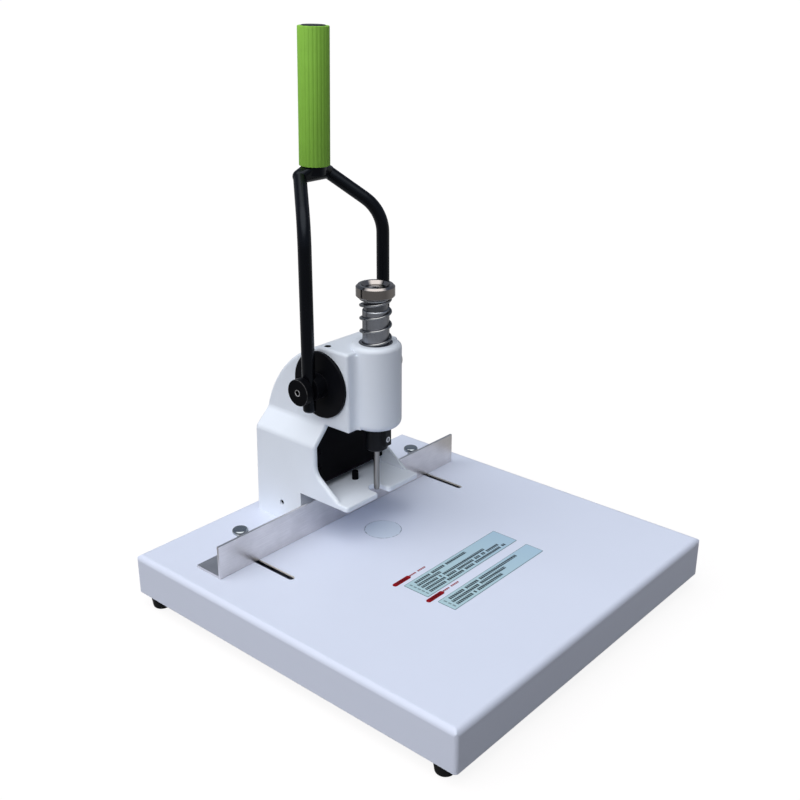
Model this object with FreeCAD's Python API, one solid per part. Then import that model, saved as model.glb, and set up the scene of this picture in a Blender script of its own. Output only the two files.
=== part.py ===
import FreeCAD, Part
import math
import os

# Desk paper drill: a white casting on a folded sheet-steel table, a plunger
# with a hollow punch, and a forked lever that drives it through a pinion.
#
# Frame: millimetres, +Z up, +X to the operator's right, the operator stands
# at -Y. The origin lies on the surface that the feet stand on, under the
# middle of the table. Heights that end in _HEIGHT are counted from the table
# top, so they pass through above() before they are used.

# ---- Table: folded tray, cover, feet -------------------------------------
TRAY_WIDTH = 400.0
TRAY_DEPTH = 403.0
TRAY_HEIGHT = 41.0
TRAY_SHEET = 2.0
TRAY_FOLD_RADIUS = 5.5
TRAY_CORNER_RADIUS = 3.5
COVER_SHEET = 1.5
COVER_CLEARANCE = 0.3
FOOT_HEIGHT = 14.0
FOOT_TOP_RADIUS = 10.5
FOOT_BOTTOM_RADIUS = 8.5
FOOT_ROUNDING = 2.6
FOOT_INSET_X = 12.0
FOOT_INSET_Y = 20.0
BRACKET_SIZE = 46.0
BRACKET_THICKNESS = 4.0
FOOT_SCREW_RADIUS = 2.5
FOOT_SCREW_HEAD_RADIUS = 4.75
FOOT_SCREW_HEAD_THICKNESS = 3.0
FOOT_SCREW_RECESS = 5.0
FOOT_SCREW_CLEARANCE = 0.3
FOOT_SCREW_SLOT_WIDTH = 1.2
FOOT_SCREW_SLOT_DEPTH = 1.0

# ---- Anvil and cutting pad -----------------------------------------------
ANVIL_THICKNESS = 10.0
ANVIL_HALF_WIDTH = 52.0
ANVIL_MARGIN = 9.0
ANVIL_CORNER_RADIUS = 6.0
PAD_RADIUS = 19.0
PAD_THICKNESS = 8.0
PAD_OFFSET = 8.5
PAD_CLEARANCE = 0.1
PAD_TABLE_CLEARANCE = 0.3
PAD_EDGE_ROUNDING = 0.4

# ---- Casting -------------------------------------------------------------
SPINDLE_SETBACK = 139.5
SPINDLE_BOSS_RADIUS = 25.3
SPINDLE_BOSS_RISE = 4.5
HEAD_HALF_WIDTH = 37.0
HEAD_FRONT_OFFSET = 3.0
HEAD_BLOCK_HEIGHT = 82.0
HEAD_TOP_HEIGHT = 197.5
HEAD_TOP_BACK_OFFSET = 40.0
HEAD_BACK_VIA_OFFSET = 85.2
HEAD_BACK_VIA_DROP = 25.5
KNEE_LEAD = 2.5
KNEE_RISE = 3.0
COLUMN_BATTER = 2.8 / 99.0
SHOULDER_RISE = 18.0
COLUMN_HALF_WIDTH = 53.5
COLUMN_FRONT_OFFSET = 56.5
COLUMN_BACK_OFFSET = 123.8
CHEEK_FRONT_OFFSET = 35.2
CHEEK_CORNER_DROP = 47.0
CHEEK_TOE_OFFSET = 3.4
CHEEK_WALL = 4.5
CASTING_WALL = 6.0
PLATE_FRONT_LEAD = 10.0
PLATE_UNDERSIDE_HEIGHT = 40.2
PLATE_THICKNESS = 5.4
PLATE_CORNER_RADIUS = 2.8
PLATE_SLOT_WIDTH = 16.4
PLATE_SLOT_DEPTH = 18.5
PLATE_SLOT_ROUNDING = 2.5
RIM_ROUNDING = 3.2
CREASE_ROUNDING = 8.0
CHEEK_CORNER_ROUNDING = 16.0
BOSS_TOP_ROUNDING = 5.0
BOSS_BOTTOM_ROUNDING = 7.5
HEAD_BOTTOM_ROUNDING = 2.6
BOSS_BLEND_RADIUS = 5.0
BOSS_BLEND_RISE = 2.0
PLATE_EDGE_ROUNDING = 1.8

# ---- Column bolts --------------------------------------------------------
BODY_BOLT_RADIUS = 4.0
BODY_BOLT_CLEARANCE = 0.5
BODY_BOLT_X = 38.0
BODY_BOLT_FRONT_MARGIN = 13.5
BODY_BOLT_BACK_MARGIN = 15.0
BODY_BOLT_GRIP = 20.0
BODY_BOLT_HEAD_RADIUS = 6.5
BODY_BOLT_HEAD_THICKNESS = 8.0
BODY_BOLT_HEX = 6.0
BODY_BOLT_HEX_DEPTH = 4.5
BODY_BOLT_BOSS_RADIUS = 10.0
BODY_BOLT_BOSS_FLOOR = 6.0
BODY_BOLT_RIB_WIDTH = 8.0

# ---- Throat --------------------------------------------------------------
LINER_SETBACK = 1.0
LINER_THICKNESS = 3.0
LINER_SILL = 8.1
LINER_CLEARANCE = 0.3
LINER_RIB_WIDTH = 7.0
LINER_RIB_DEPTH = 8.0
LINER_RIB_SETBACK = 2.0
LINER_SCREW_RADIUS = 1.5
LINER_SCREW_HEAD_RADIUS = 2.75
LINER_SCREW_HEAD_THICKNESS = 1.6
LINER_SCREW_LENGTH = 8.0
LINER_SCREW_HEX = 2.0
LINER_SCREW_HEX_DEPTH = 1.0
LINER_SCREW_LOW_SHARE = 0.42
LINER_SCREW_HIGH_SHARE = 0.8
LINER_POST_RADIUS = 3.4
LINER_POST_HEIGHT = 9.0
LINER_POST_LEAD = 6.2
LINER_POST_ROUNDING = 0.8

# ---- Grub screws in the casting ------------------------------------------
TOP_GRUB_X = 30.5
TOP_GRUB_LEAD = 3.8
TOP_GRUB_RADIUS = 3.25
TOP_GRUB_LENGTH = 5.0
TOP_GRUB_HOLE_DEPTH = 8.0
SIDE_GRUB_OFFSET = 28.5
SIDE_GRUB_HEIGHT = 20.0
SIDE_GRUB_RADIUS = 2.9
SIDE_GRUB_LENGTH = 3.6
GRUB_RECESS = 2.2
GRUB_HEX = 2.5
GRUB_HEX_DEPTH = 2.0

# ---- Pivot: shaft, bushes, pinion ----------------------------------------
RACK_OFFSET = 10.8
PIVOT_DROP = 38.5
SHAFT_RADIUS = 8.0
RUNNING_CLEARANCE = 0.05
SIDE_CLEARANCE = 0.3
PIVOT_BUSH_WALL = 3.0
BEARING_BOSS_RADIUS = 18.0
BEARING_BOSS_INNER_X = 20.0
GEAR_MODULE = 2.0
PINION_TEETH = 28
PINION_FACE = 16.0
PINION_HUB_RADIUS = 14.0
PINION_ROOM = 1.0
PRESSURE_ANGLE = math.radians(20.0)
TOOTH_BACKLASH = 0.4
FLANK_SPANS = 5
RACK_LEAD = 2
KEY_WIDTH = 5.0
KEY_HEIGHT = 5.0
KEY_LENGTH = 28.0
KEY_DEPTH_IN_SHAFT = 3.0

# ---- Plunger, spring and cap ---------------------------------------------
STROKE = 43.5
PLUNGER_RADIUS = 12.9
PLUNGER_NECK_RADIUS = 11.5
PLUNGER_NECK_LENGTH = 12.5
PLUNGER_SHOULDER_ROUNDING = 1.3
PLUNGER_RECESS = 3.0
GUIDE_BUSH_WALL = 2.0
UPPER_BUSH_LENGTH = 8.0
LOWER_BUSH_LENGTH = 21.0
LOWER_BUSH_RECESS = 1.0
SPRING_WELL_RADIUS = 16.5
SPRING_WELL_DEPTH = 14.0
SPRING_LENGTH = 60.0
SPRING_OUTER_RADIUS = 15.85
SPRING_WIRE_RADIUS = 1.35
SPRING_TURNS = 4.25
CAP_RADIUS = 18.9
CAP_THICKNESS = 12.0
CAP_TOP_CHAMFER = 2.0
CAP_BOTTOM_CHAMFER = 1.2
CAP_DISH_RADIUS = 13.9
CAP_DISH_FLOOR_RADIUS = 11.5
CAP_DISH_DEPTH = 3.5
CAP_SCREW_HEAD_RADIUS = 8.0
CAP_SCREW_HEAD_THICKNESS = 4.0
CAP_SCREW_RADIUS = 5.0
CAP_SCREW_LENGTH = 34.0
CAP_SCREW_HEX = 6.0
CAP_SCREW_HEX_DEPTH = 2.5
CAP_SCREW_ROUNDING = 0.8

# ---- Punch ---------------------------------------------------------------
CHUCK_RADIUS = 11.2
CHUCK_LENGTH = 29.0
CHUCK_CHAMFER = 1.5
CHUCK_SHANK_RADIUS = 7.0
CHUCK_SHANK_LENGTH = 18.0
CHIP_WINDOW_WIDTH = 5.0
CHIP_WINDOW_HEIGHT = 10.0
CHIP_WINDOW_SILL = 1.0
PUNCH_RADIUS = 3.0
PUNCH_BORE_RADIUS = 2.2
PUNCH_END_HEIGHT = 0.3
PUNCH_TIP_BEVEL = 2.5
PUNCH_TIP_LAND = 0.1
PUNCH_GRIP = 17.0
CHUCK_LUG_HALF_WIDTH = 4.5
CHUCK_LUG_REACH = 16.3
CHUCK_LUG_DROP = 6.9
CHUCK_LUG_ROOM = 1.5
CHUCK_LUG_ROUNDING = 0.8
CHUCK_SCREW_RISE = 13.9
CHUCK_SCREW_RADIUS = 2.0
CHUCK_SCREW_HEAD_RADIUS = 3.25
CHUCK_SCREW_HEAD_THICKNESS = 4.0
CHUCK_SCREW_HEX = 3.0
CHUCK_SCREW_HEX_DEPTH = 2.5
CHUCK_SCREW_SEAT_DEPTH = 4.3
CHUCK_SCREW_ROUNDING = 0.5

# ---- Lever ---------------------------------------------------------------
ARM_X = 53.9
ARM_RADIUS = 6.5
KNUCKLE_RADIUS = 6.55
ARM_TAIL = 24.0
ARM_TAIL_ROUNDING = 3.0
ARM_BEND_RADIUS = 42.0
ARM_CORNER_RISE = 156.9
YOKE_X = 18.5
YOKE_OFFSET = 40.3
YOKE_RISE = 195.0
GRIP_OFFSET = 38.8
GRIP_RADIUS = 15.0
GRIP_BORE_RADIUS = 11.5
GRIP_RISE = 8.6
GRIP_LENGTH = 126.4
GRIP_LEAN = 1.4
GRIP_RIBS = 24
GRIP_GROOVE_DEPTH = 0.5
GRIP_GROOVE_WIDTH = 1.6
STEM_WALL = 2.5
STEM_BORE_START = 4.0
GRIP_ROUNDING = 0.8
GRIP_PLUG_THICKNESS = 3.0
GRIP_PLUG_RISE = 0.7
GRIP_PLUG_DEPTH = 14.0

# ---- Hubs ----------------------------------------------------------------
HUB_DISC_RADIUS = 34.0
HUB_DISC_THICKNESS = 3.2
HUB_DISC_ROUNDING = 1.0
HUB_BOSS_RADIUS = 12.5
HUB_SHAFT_DEPTH = 6.0
SHAFT_FLAT = 1.5
PIVOT_BOLT_RADIUS = 4.0
PIVOT_BOLT_HEAD_RADIUS = 13.5
PIVOT_BOLT_HEAD_THICKNESS = 9.0
PIVOT_BOLT_LENGTH = 34.0
PIVOT_BOLT_HEX = 5.0
PIVOT_BOLT_HEX_DEPTH = 4.0
PIVOT_BOLT_ROUNDING = 1.0
PIVOT_BOLT_CLEARANCE = 0.2

# ---- Fence ---------------------------------------------------------------
FENCE_LENGTH = 350.0
FENCE_LEG = 34.4
FENCE_SHEET = 2.5
FENCE_INNER_RADIUS = 1.5
FENCE_OFFSET = 41.0
FENCE_GAP = 0.2
FENCE_NOTCH_CLEARANCE = 3.0
THUMB_X = 128.5
THUMB_SETBACK = 23.0
FENCE_SLOT_FRONT_LEAD = 10.0
FENCE_SLOT_BACK_OFFSET = 80.0
THUMB_STUD_RADIUS = 3.0
THUMB_STUD_CLEARANCE = 0.3
THUMB_NECK_RADIUS = 3.8
THUMB_HEAD_RADIUS = 8.0
THUMB_HEAD_THICKNESS = 4.2
THUMB_TOP_HEIGHT = 27.7
THUMB_CHAMFER = 0.8
WASHER_RADIUS = 7.0
WASHER_THICKNESS = 1.2
CLAMP_NUT_SIZE = 16.0
CLAMP_NUT_THICKNESS = 6.0
THUMB_STUD_END = 2.0

# ---- Labels --------------------------------------------------------------
LABEL_THICKNESS = 0.3
LABEL_CORNER_RADIUS = 1.0
LABEL_LEFT_X = -69.0
LABEL_RIGHT_X = 72.0
UPPER_LABEL_BACK_Y = -34.5
UPPER_LABEL_DEPTH = 29.5
LOWER_LABEL_BACK_Y = -75.5
LOWER_LABEL_DEPTH = 20.5
TAG_LEFT_X = -75.5
TAG_LENGTH = 23.5
TAG_WIDTH = 5.0
TAG_LIFT = 7.0
TAG_CORNER_RADIUS = 2.4

# ---- Length by which a cutter runs past the face that it opens ---------------
OVERCUT = 1.0

# ---- Worked out from the above -------------------------------------------
TABLE_Z = FOOT_HEIGHT + TRAY_HEIGHT
LEAST_RISE = 0.5
PITCH_RADIUS = GEAR_MODULE * PINION_TEETH / 2.0
PINION_TIP_RADIUS = PITCH_RADIUS + GEAR_MODULE
PINION_ROOT_RADIUS = PITCH_RADIUS - 1.25 * GEAR_MODULE
TOOTH_PITCH = math.pi * GEAR_MODULE

# Places along the depth follow the spindle, which follows the table's back edge.
SPINDLE_Y = TRAY_DEPTH / 2.0 - SPINDLE_SETBACK
HEAD_FRONT_Y = SPINDLE_Y + HEAD_FRONT_OFFSET
HEAD_TOP_BACK_Y = SPINDLE_Y + HEAD_TOP_BACK_OFFSET
HEAD_BACK_VIA_Y = SPINDLE_Y + HEAD_BACK_VIA_OFFSET
COLUMN_FRONT_Y = SPINDLE_Y + COLUMN_FRONT_OFFSET
COLUMN_BACK_Y = SPINDLE_Y + COLUMN_BACK_OFFSET
CHEEK_FRONT_Y = SPINDLE_Y + CHEEK_FRONT_OFFSET
CHEEK_TOE_Y = SPINDLE_Y + CHEEK_TOE_OFFSET
PLATE_FRONT_Y = SPINDLE_Y - PLATE_FRONT_LEAD
BODY_BOLT_FRONT_Y = COLUMN_FRONT_Y + BODY_BOLT_FRONT_MARGIN
BODY_BOLT_BACK_Y = COLUMN_BACK_Y - BODY_BOLT_BACK_MARGIN
LINER_FRONT_Y = CHEEK_FRONT_Y + LINER_SETBACK
LINER_BACK_Y = LINER_FRONT_Y + LINER_THICKNESS
PIVOT_Y = SPINDLE_Y + RACK_OFFSET + PITCH_RADIUS
TOP_GRUB_Y = PIVOT_Y - TOP_GRUB_LEAD
SIDE_GRUB_Y = COLUMN_FRONT_Y + SIDE_GRUB_OFFSET
YOKE_Y = PIVOT_Y + YOKE_OFFSET
GRIP_Y = PIVOT_Y + GRIP_OFFSET
FENCE_FRONT_Y = SPINDLE_Y + FENCE_OFFSET
FENCE_SLOT_FRONT_Y = SPINDLE_Y - FENCE_SLOT_FRONT_LEAD
FENCE_SLOT_BACK_Y = SPINDLE_Y + FENCE_SLOT_BACK_OFFSET
THUMB_Y = FENCE_FRONT_Y + THUMB_SETBACK
PAD_Y = SPINDLE_Y - PAD_OFFSET
ANVIL_FRONT_Y = PAD_Y - PAD_RADIUS - ANVIL_MARGIN

# Heights in the casting, spindle and lever follow the top of the head.
HEAD_UNDERSIDE_HEIGHT = HEAD_TOP_HEIGHT - HEAD_BLOCK_HEIGHT
HEAD_BACK_VIA_HEIGHT = HEAD_TOP_HEIGHT - HEAD_BACK_VIA_DROP
SPINDLE_BOSS_TOP_HEIGHT = HEAD_TOP_HEIGHT + SPINDLE_BOSS_RISE
KNEE_HEIGHT = HEAD_UNDERSIDE_HEIGHT + KNEE_RISE
SHOULDER_HEIGHT = HEAD_UNDERSIDE_HEIGHT - SHOULDER_RISE
SHOULDER_Y = COLUMN_BACK_Y - COLUMN_BATTER * SHOULDER_HEIGHT
KNEE_Y = SHOULDER_Y - KNEE_LEAD
CHEEK_CORNER_HEIGHT = HEAD_UNDERSIDE_HEIGHT - CHEEK_CORNER_DROP
PLATE_TOP_HEIGHT = PLATE_UNDERSIDE_HEIGHT + PLATE_THICKNESS
LINER_BOTTOM_HEIGHT = PLATE_TOP_HEIGHT + LINER_SILL
LINER_SCREW_HEIGHTS = [LINER_BOTTOM_HEIGHT + share * (SHOULDER_HEIGHT - LINER_BOTTOM_HEIGHT)
                       for share in (LINER_SCREW_LOW_SHARE, LINER_SCREW_HIGH_SHARE)]
PIVOT_HEIGHT = HEAD_TOP_HEIGHT - PIVOT_DROP
SPRING_SEAT_HEIGHT = SPINDLE_BOSS_TOP_HEIGHT - SPRING_WELL_DEPTH
CAP_UNDERSIDE_HEIGHT = SPRING_SEAT_HEIGHT + SPRING_LENGTH
PLUNGER_BOTTOM_HEIGHT = HEAD_UNDERSIDE_HEIGHT + PLUNGER_RECESS
CHUCK_BOTTOM_HEIGHT = PLUNGER_BOTTOM_HEIGHT - CHUCK_LENGTH
CHUCK_SCREW_HEIGHT = CHUCK_BOTTOM_HEIGHT + CHUCK_SCREW_RISE
CHUCK_LUG_TOP_HEIGHT = HEAD_UNDERSIDE_HEIGHT - CHUCK_LUG_ROOM
PUNCH_TIP_HEIGHT = STROKE + PUNCH_END_HEIGHT
ARM_CORNER_HEIGHT = PIVOT_HEIGHT + ARM_CORNER_RISE
YOKE_HEIGHT = PIVOT_HEIGHT + YOKE_RISE
GRIP_BOTTOM_HEIGHT = YOKE_HEIGHT + GRIP_RISE
GRIP_TOP_HEIGHT = GRIP_BOTTOM_HEIGHT + GRIP_LENGTH

CREST_HALF_TURN = math.atan2(HEAD_BACK_VIA_DROP, HEAD_BACK_VIA_OFFSET - HEAD_TOP_BACK_OFFSET) / 2.0
GUIDE_BUSH_RADIUS = PLUNGER_RADIUS + GUIDE_BUSH_WALL
PIVOT_BUSH_RADIUS = SHAFT_RADIUS + PIVOT_BUSH_WALL
BEARING_END_X = HEAD_HALF_WIDTH + SIDE_CLEARANCE
HUB_FACE_X = BEARING_END_X + HUB_DISC_THICKNESS
SHOULDER_HALF_TURN = math.atan2(COLUMN_HALF_WIDTH - HEAD_HALF_WIDTH, SHOULDER_RISE) / 2.0
RIB_X = COLUMN_HALF_WIDTH - CHEEK_WALL - LINER_RIB_WIDTH / 2.0
SHAFT_END_X = HUB_FACE_X + HUB_SHAFT_DEPTH
STEM_RADIUS = GRIP_BORE_RADIUS
FENCE_BOTTOM_HEIGHT = FENCE_GAP


def above(height):
    """Height above the table top, as a Z value."""
    return TABLE_Z + height


def vec(x, y, z):
    """Short name for a point or a direction."""
    return FreeCAD.Vector(x, y, z)


def box(x0, x1, y0, y1, z0, z1):
    """Box between two corners."""
    return Part.makeBox(x1 - x0, y1 - y0, z1 - z0, vec(x0, y0, z0))


def rod_x(radius, x0, x1, y, z):
    """Cylinder along X."""
    return Part.makeCylinder(radius, x1 - x0, vec(x0, y, z), vec(1, 0, 0))


def rod_y(radius, y0, y1, x, z):
    """Cylinder along Y."""
    return Part.makeCylinder(radius, y1 - y0, vec(x, y0, z), vec(0, 1, 0))


def rod_z(radius, z0, z1, x, y):
    """Cylinder along Z."""
    return Part.makeCylinder(radius, z1 - z0, vec(x, y, z0))


def face_from(place, start, steps):
    """Flat face from an outline: a step is an end, or a via point and an end for an arc."""
    edges = []
    here = start
    for step in steps:
        end = step[-2:]
        if len(step) == 2:
            edges.append(Part.LineSegment(place(*here), place(*end)).toShape())
        else:
            edges.append(Part.Arc(place(*here), place(*step[:2]), place(*end)).toShape())
        here = end
    return Part.Face(Part.Wire(edges))


def closed_face(place, points):
    """Flat face from the corners of a straight-sided outline."""
    return face_from(place, points[0], points[1:] + points[:1])


def turned(x, y, points):
    """Solid of revolution about a vertical axis from (radius, z) points."""
    face = closed_face(lambda radius, z: vec(x + radius, y, z), points)
    return face.revolve(vec(x, y, 0), vec(0, 0, 1), 360)


def hexagon_hole(across_flats, depth, tip, direction):
    """Hexagonal socket that starts at tip and runs along direction."""
    corner = across_flats / math.sqrt(3.0)
    turn = FreeCAD.Rotation(vec(0, 0, 1), direction)
    points = []
    for index in range(7):
        angle = math.radians(60.0 * index)
        offset = vec(corner * math.cos(angle), corner * math.sin(angle), 0)
        points.append(tip + turn.multVec(offset))
    return Part.Face(Part.makePolygon(points)).extrude(direction * depth)


def rounded(shape, radius, picks):
    """Round the edges of a shape whose middle point passes the test."""
    edges = []
    for edge in shape.Edges:
        middle = edge.valueAt((edge.FirstParameter + edge.LastParameter) / 2.0)
        if picks(edge, middle):
            edges.append(edge)
    return shape.makeFillet(radius, edges)


def is_circle(edge):
    """True for a round edge."""
    return edge.Curve.TypeId == "Part::GeomCircle"


def near(value, target, tolerance=0.01):
    """True where two lengths are the same."""
    return abs(value - target) < tolerance


def runs_along(edge, axis):
    """True where a straight edge lies along an axis (0, 1 or 2)."""
    if edge.Curve.TypeId != "Part::GeomLine":
        return False
    return abs(abs(edge.Curve.Direction[axis]) - 1.0) < 1e-6


def mirrored(shape):
    """Copy of a left-hand piece for the right-hand side."""
    return shape.mirror(vec(0, 0, 0), vec(1, 0, 0))


def both_sides(shape):
    """A piece and its mirror image, as one group of solids."""
    return Part.makeCompound([shape, mirrored(shape)])


# ---- Table ---------------------------------------------------------------
def tray_form(inset, bottom):
    """Outer or inner form of the folded tray, inset by a sheet thickness."""
    half_width = TRAY_WIDTH / 2.0 - inset
    half_depth = TRAY_DEPTH / 2.0 - inset
    top = TABLE_Z - inset
    fold = TRAY_FOLD_RADIUS - inset
    corner = TRAY_CORNER_RADIUS - inset
    block = box(-half_width, half_width, -half_depth, half_depth, bottom, top)
    across = rounded(block, fold, lambda e, m: near(m.z, top) and runs_along(e, 1))
    along = rounded(block, fold, lambda e, m: near(m.z, top) and runs_along(e, 0))
    upright = rounded(block, corner, lambda e, m: runs_along(e, 2))
    return across.common(along).common(upright)


def foot_places():
    """Centres of the four feet, by name."""
    x = TRAY_WIDTH / 2.0 - FOOT_INSET_X
    y = TRAY_DEPTH / 2.0 - FOOT_INSET_Y
    return {
        "front_left": (-x, -y),
        "front_right": (x, -y),
        "rear_left": (-x, y),
        "rear_right": (x, y),
    }


def body_bolt_places():
    """Centres of the four bolts that hold the casting."""
    return [(x, y) for x in (-BODY_BOLT_X, BODY_BOLT_X) for y in (BODY_BOLT_FRONT_Y, BODY_BOLT_BACK_Y)]


def fence_slot(x, z0, z1):
    """Straight slot with round ends for a thumb screw."""
    radius = THUMB_STUD_RADIUS + THUMB_STUD_CLEARANCE
    front = FENCE_SLOT_FRONT_Y + radius
    back = FENCE_SLOT_BACK_Y - radius
    slot = box(x - radius, x + radius, front, back, z0, z1)
    return slot.fuse([rod_z(radius, z0, z1, x, front), rod_z(radius, z0, z1, x, back)])


def base_tray():
    """Folded sheet-steel table, open below."""
    tray = tray_form(0.0, FOOT_HEIGHT).cut(tray_form(TRAY_SHEET, FOOT_HEIGHT - OVERCUT))
    low = TABLE_Z - TRAY_SHEET - OVERCUT
    high = TABLE_Z + OVERCUT
    cuts = [rod_z(PAD_RADIUS + PAD_TABLE_CLEARANCE, low, high, 0, PAD_Y)]
    cuts += [fence_slot(x, low, high) for x in (-THUMB_X, THUMB_X)]
    for x, y in body_bolt_places():
        cuts.append(rod_z(BODY_BOLT_RADIUS + BODY_BOLT_CLEARANCE, low, high, x, y))
    return tray.cut(cuts)


def bottom_cover():
    """Flat cover inside the lower rim of the skirts."""
    inset = TRAY_SHEET + COVER_CLEARANCE
    half_width = TRAY_WIDTH / 2.0 - inset
    half_depth = TRAY_DEPTH / 2.0 - inset
    top = FOOT_HEIGHT + COVER_SHEET
    plate = box(-half_width, half_width, -half_depth, half_depth, FOOT_HEIGHT, top)
    plate = rounded(plate, TRAY_CORNER_RADIUS - TRAY_SHEET, lambda e, m: runs_along(e, 2))
    holes = [rod_z(FOOT_SCREW_RADIUS, FOOT_HEIGHT - OVERCUT, top + OVERCUT, x, y)
             for x, y in foot_places().values()]
    return plate.cut(holes)


def corner_brackets():
    """Four plates welded into the tray's corners, above the cover."""
    bottom = FOOT_HEIGHT + COVER_SHEET
    top = bottom + BRACKET_THICKNESS
    right = TRAY_WIDTH / 2.0 - TRAY_SHEET
    back = TRAY_DEPTH / 2.0 - TRAY_SHEET
    plates = []
    for x, y in foot_places().values():
        plate = box(right - BRACKET_SIZE, right, back - BRACKET_SIZE, back, bottom, top)
        plate = rounded(plate, TRAY_CORNER_RADIUS, lambda e, m: runs_along(e, 2))
        if x < 0:
            plate = mirrored(plate)
        if y < 0:
            plate = plate.mirror(vec(0, 0, 0), vec(0, 1, 0))
        plates.append(plate.cut(rod_z(FOOT_SCREW_RADIUS, bottom - OVERCUT, top + OVERCUT, x, y)))
    return Part.makeCompound(plates)


def foot(x, y):
    """Tapered rubber foot with a recess for its screw."""
    blank = Part.makeCone(FOOT_BOTTOM_RADIUS, FOOT_TOP_RADIUS, FOOT_HEIGHT, vec(x, y, 0))
    blank = rounded(blank, FOOT_ROUNDING, lambda e, m: near(m.z, 0.0) and is_circle(e))
    recess = rod_z(FOOT_SCREW_HEAD_RADIUS + FOOT_SCREW_CLEARANCE, -OVERCUT, FOOT_SCREW_RECESS, x, y)
    hole = rod_z(FOOT_SCREW_RADIUS, -OVERCUT, FOOT_HEIGHT + OVERCUT, x, y)
    return blank.cut([recess, hole])


def foot_screws():
    """Screws through feet and cover into the corner brackets."""
    top = FOOT_HEIGHT + COVER_SHEET + BRACKET_THICKNESS
    head_bottom = FOOT_SCREW_RECESS - FOOT_SCREW_HEAD_THICKNESS
    half_slot = FOOT_SCREW_SLOT_WIDTH / 2.0
    screws = []
    for x, y in foot_places().values():
        head = rod_z(FOOT_SCREW_HEAD_RADIUS, head_bottom, FOOT_SCREW_RECESS, x, y)
        slot = box(x - FOOT_SCREW_HEAD_RADIUS, x + FOOT_SCREW_HEAD_RADIUS, y - half_slot, y + half_slot,
                   head_bottom - OVERCUT, head_bottom + FOOT_SCREW_SLOT_DEPTH)
        shank = rod_z(FOOT_SCREW_RADIUS, FOOT_SCREW_RECESS, top, x, y)
        screws.append(head.cut(slot).fuse(shank))
    return Part.makeCompound(screws)


def anvil_plate():
    """Steel plate under the table, with the pocket that holds the cutting pad."""
    top = TABLE_Z - TRAY_SHEET
    bottom = top - ANVIL_THICKNESS
    plate = box(-ANVIL_HALF_WIDTH, ANVIL_HALF_WIDTH, ANVIL_FRONT_Y, COLUMN_BACK_Y, bottom, top)
    plate = rounded(plate, ANVIL_CORNER_RADIUS, lambda e, m: runs_along(e, 2))
    floor = TABLE_Z - PAD_THICKNESS - PAD_CLEARANCE
    cuts = [rod_z(PAD_RADIUS + PAD_CLEARANCE, floor, top + OVERCUT, 0, PAD_Y)]
    for x, y in body_bolt_places():
        cuts.append(rod_z(BODY_BOLT_RADIUS + BODY_BOLT_CLEARANCE, bottom - OVERCUT, top, x, y))
    return plate.cut(cuts)


def cutting_pad():
    """Round pad, flush with the table, off the punch's axis so that a turn gives a fresh spot."""
    pad = rod_z(PAD_RADIUS, TABLE_Z - PAD_THICKNESS, TABLE_Z, 0, PAD_Y)
    return rounded(pad, PAD_EDGE_ROUNDING, lambda e, m: is_circle(e))


def body_bolts():
    """Socket bolts from below into the casting's bosses."""
    head_top = TABLE_Z - TRAY_SHEET - ANVIL_THICKNESS
    head_bottom = head_top - BODY_BOLT_HEAD_THICKNESS
    bolts = []
    for x, y in body_bolt_places():
        head = rod_z(BODY_BOLT_HEAD_RADIUS, head_bottom, head_top, x, y)
        shank = rod_z(BODY_BOLT_RADIUS, head_top, above(BODY_BOLT_GRIP), x, y)
        socket = hexagon_hole(BODY_BOLT_HEX, BODY_BOLT_HEX_DEPTH, vec(x, y, head_bottom), vec(0, 0, 1))
        bolts.append(head.fuse(shank).cut(socket))
    return Part.makeCompound(bolts)


# ---- Casting -------------------------------------------------------------
def side_profile():
    """Column, head and cheeks from the side, as a slab across the full width."""
    def place(y, height):
        return vec(-COLUMN_HALF_WIDTH, y, above(height))
    start = (HEAD_FRONT_Y, HEAD_TOP_HEIGHT)
    steps = [
        (HEAD_TOP_BACK_Y, HEAD_TOP_HEIGHT),
        (HEAD_BACK_VIA_Y, HEAD_BACK_VIA_HEIGHT, KNEE_Y, KNEE_HEIGHT),
        (SHOULDER_Y, SHOULDER_HEIGHT),
        (COLUMN_BACK_Y, 0.0),
        (COLUMN_FRONT_Y, 0.0),
        (COLUMN_FRONT_Y, PLATE_UNDERSIDE_HEIGHT),
        (CHEEK_TOE_Y, PLATE_UNDERSIDE_HEIGHT),
        (CHEEK_TOE_Y, PLATE_TOP_HEIGHT),
        (CHEEK_FRONT_Y, CHEEK_CORNER_HEIGHT),
        (CHEEK_FRONT_Y, HEAD_UNDERSIDE_HEIGHT),
        (HEAD_FRONT_Y, HEAD_UNDERSIDE_HEIGHT),
        (HEAD_FRONT_Y, HEAD_TOP_HEIGHT),
    ]
    slab = face_from(place, start, steps).extrude(vec(2 * COLUMN_HALF_WIDTH, 0, 0))
    corners = [
        (HEAD_FRONT_Y, HEAD_TOP_HEIGHT, RIM_ROUNDING),
        (HEAD_TOP_BACK_Y, HEAD_TOP_HEIGHT, CREASE_ROUNDING),
        (KNEE_Y, KNEE_HEIGHT, CREASE_ROUNDING),
        (CHEEK_FRONT_Y, CHEEK_CORNER_HEIGHT, CHEEK_CORNER_ROUNDING),
    ]
    for y, height, radius in corners:
        slab = rounded(slab, radius, lambda e, m: near(m.y, y) and near(m.z, above(height)))
    return slab


def front_outline(inset, bottom, top):
    """Outline from the front: wide column, sloping shoulders, narrow head."""
    low = COLUMN_HALF_WIDTH - inset
    high = HEAD_HALF_WIDTH - inset
    slope_drop = inset * math.tan(SHOULDER_HALF_TURN)
    shoulder = SHOULDER_HEIGHT - slope_drop
    neck = HEAD_UNDERSIDE_HEIGHT - slope_drop
    right = [(low, bottom), (low, shoulder), (high, neck), (high, top)]
    return right + [(-x, height) for x, height in reversed(right)]


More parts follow.
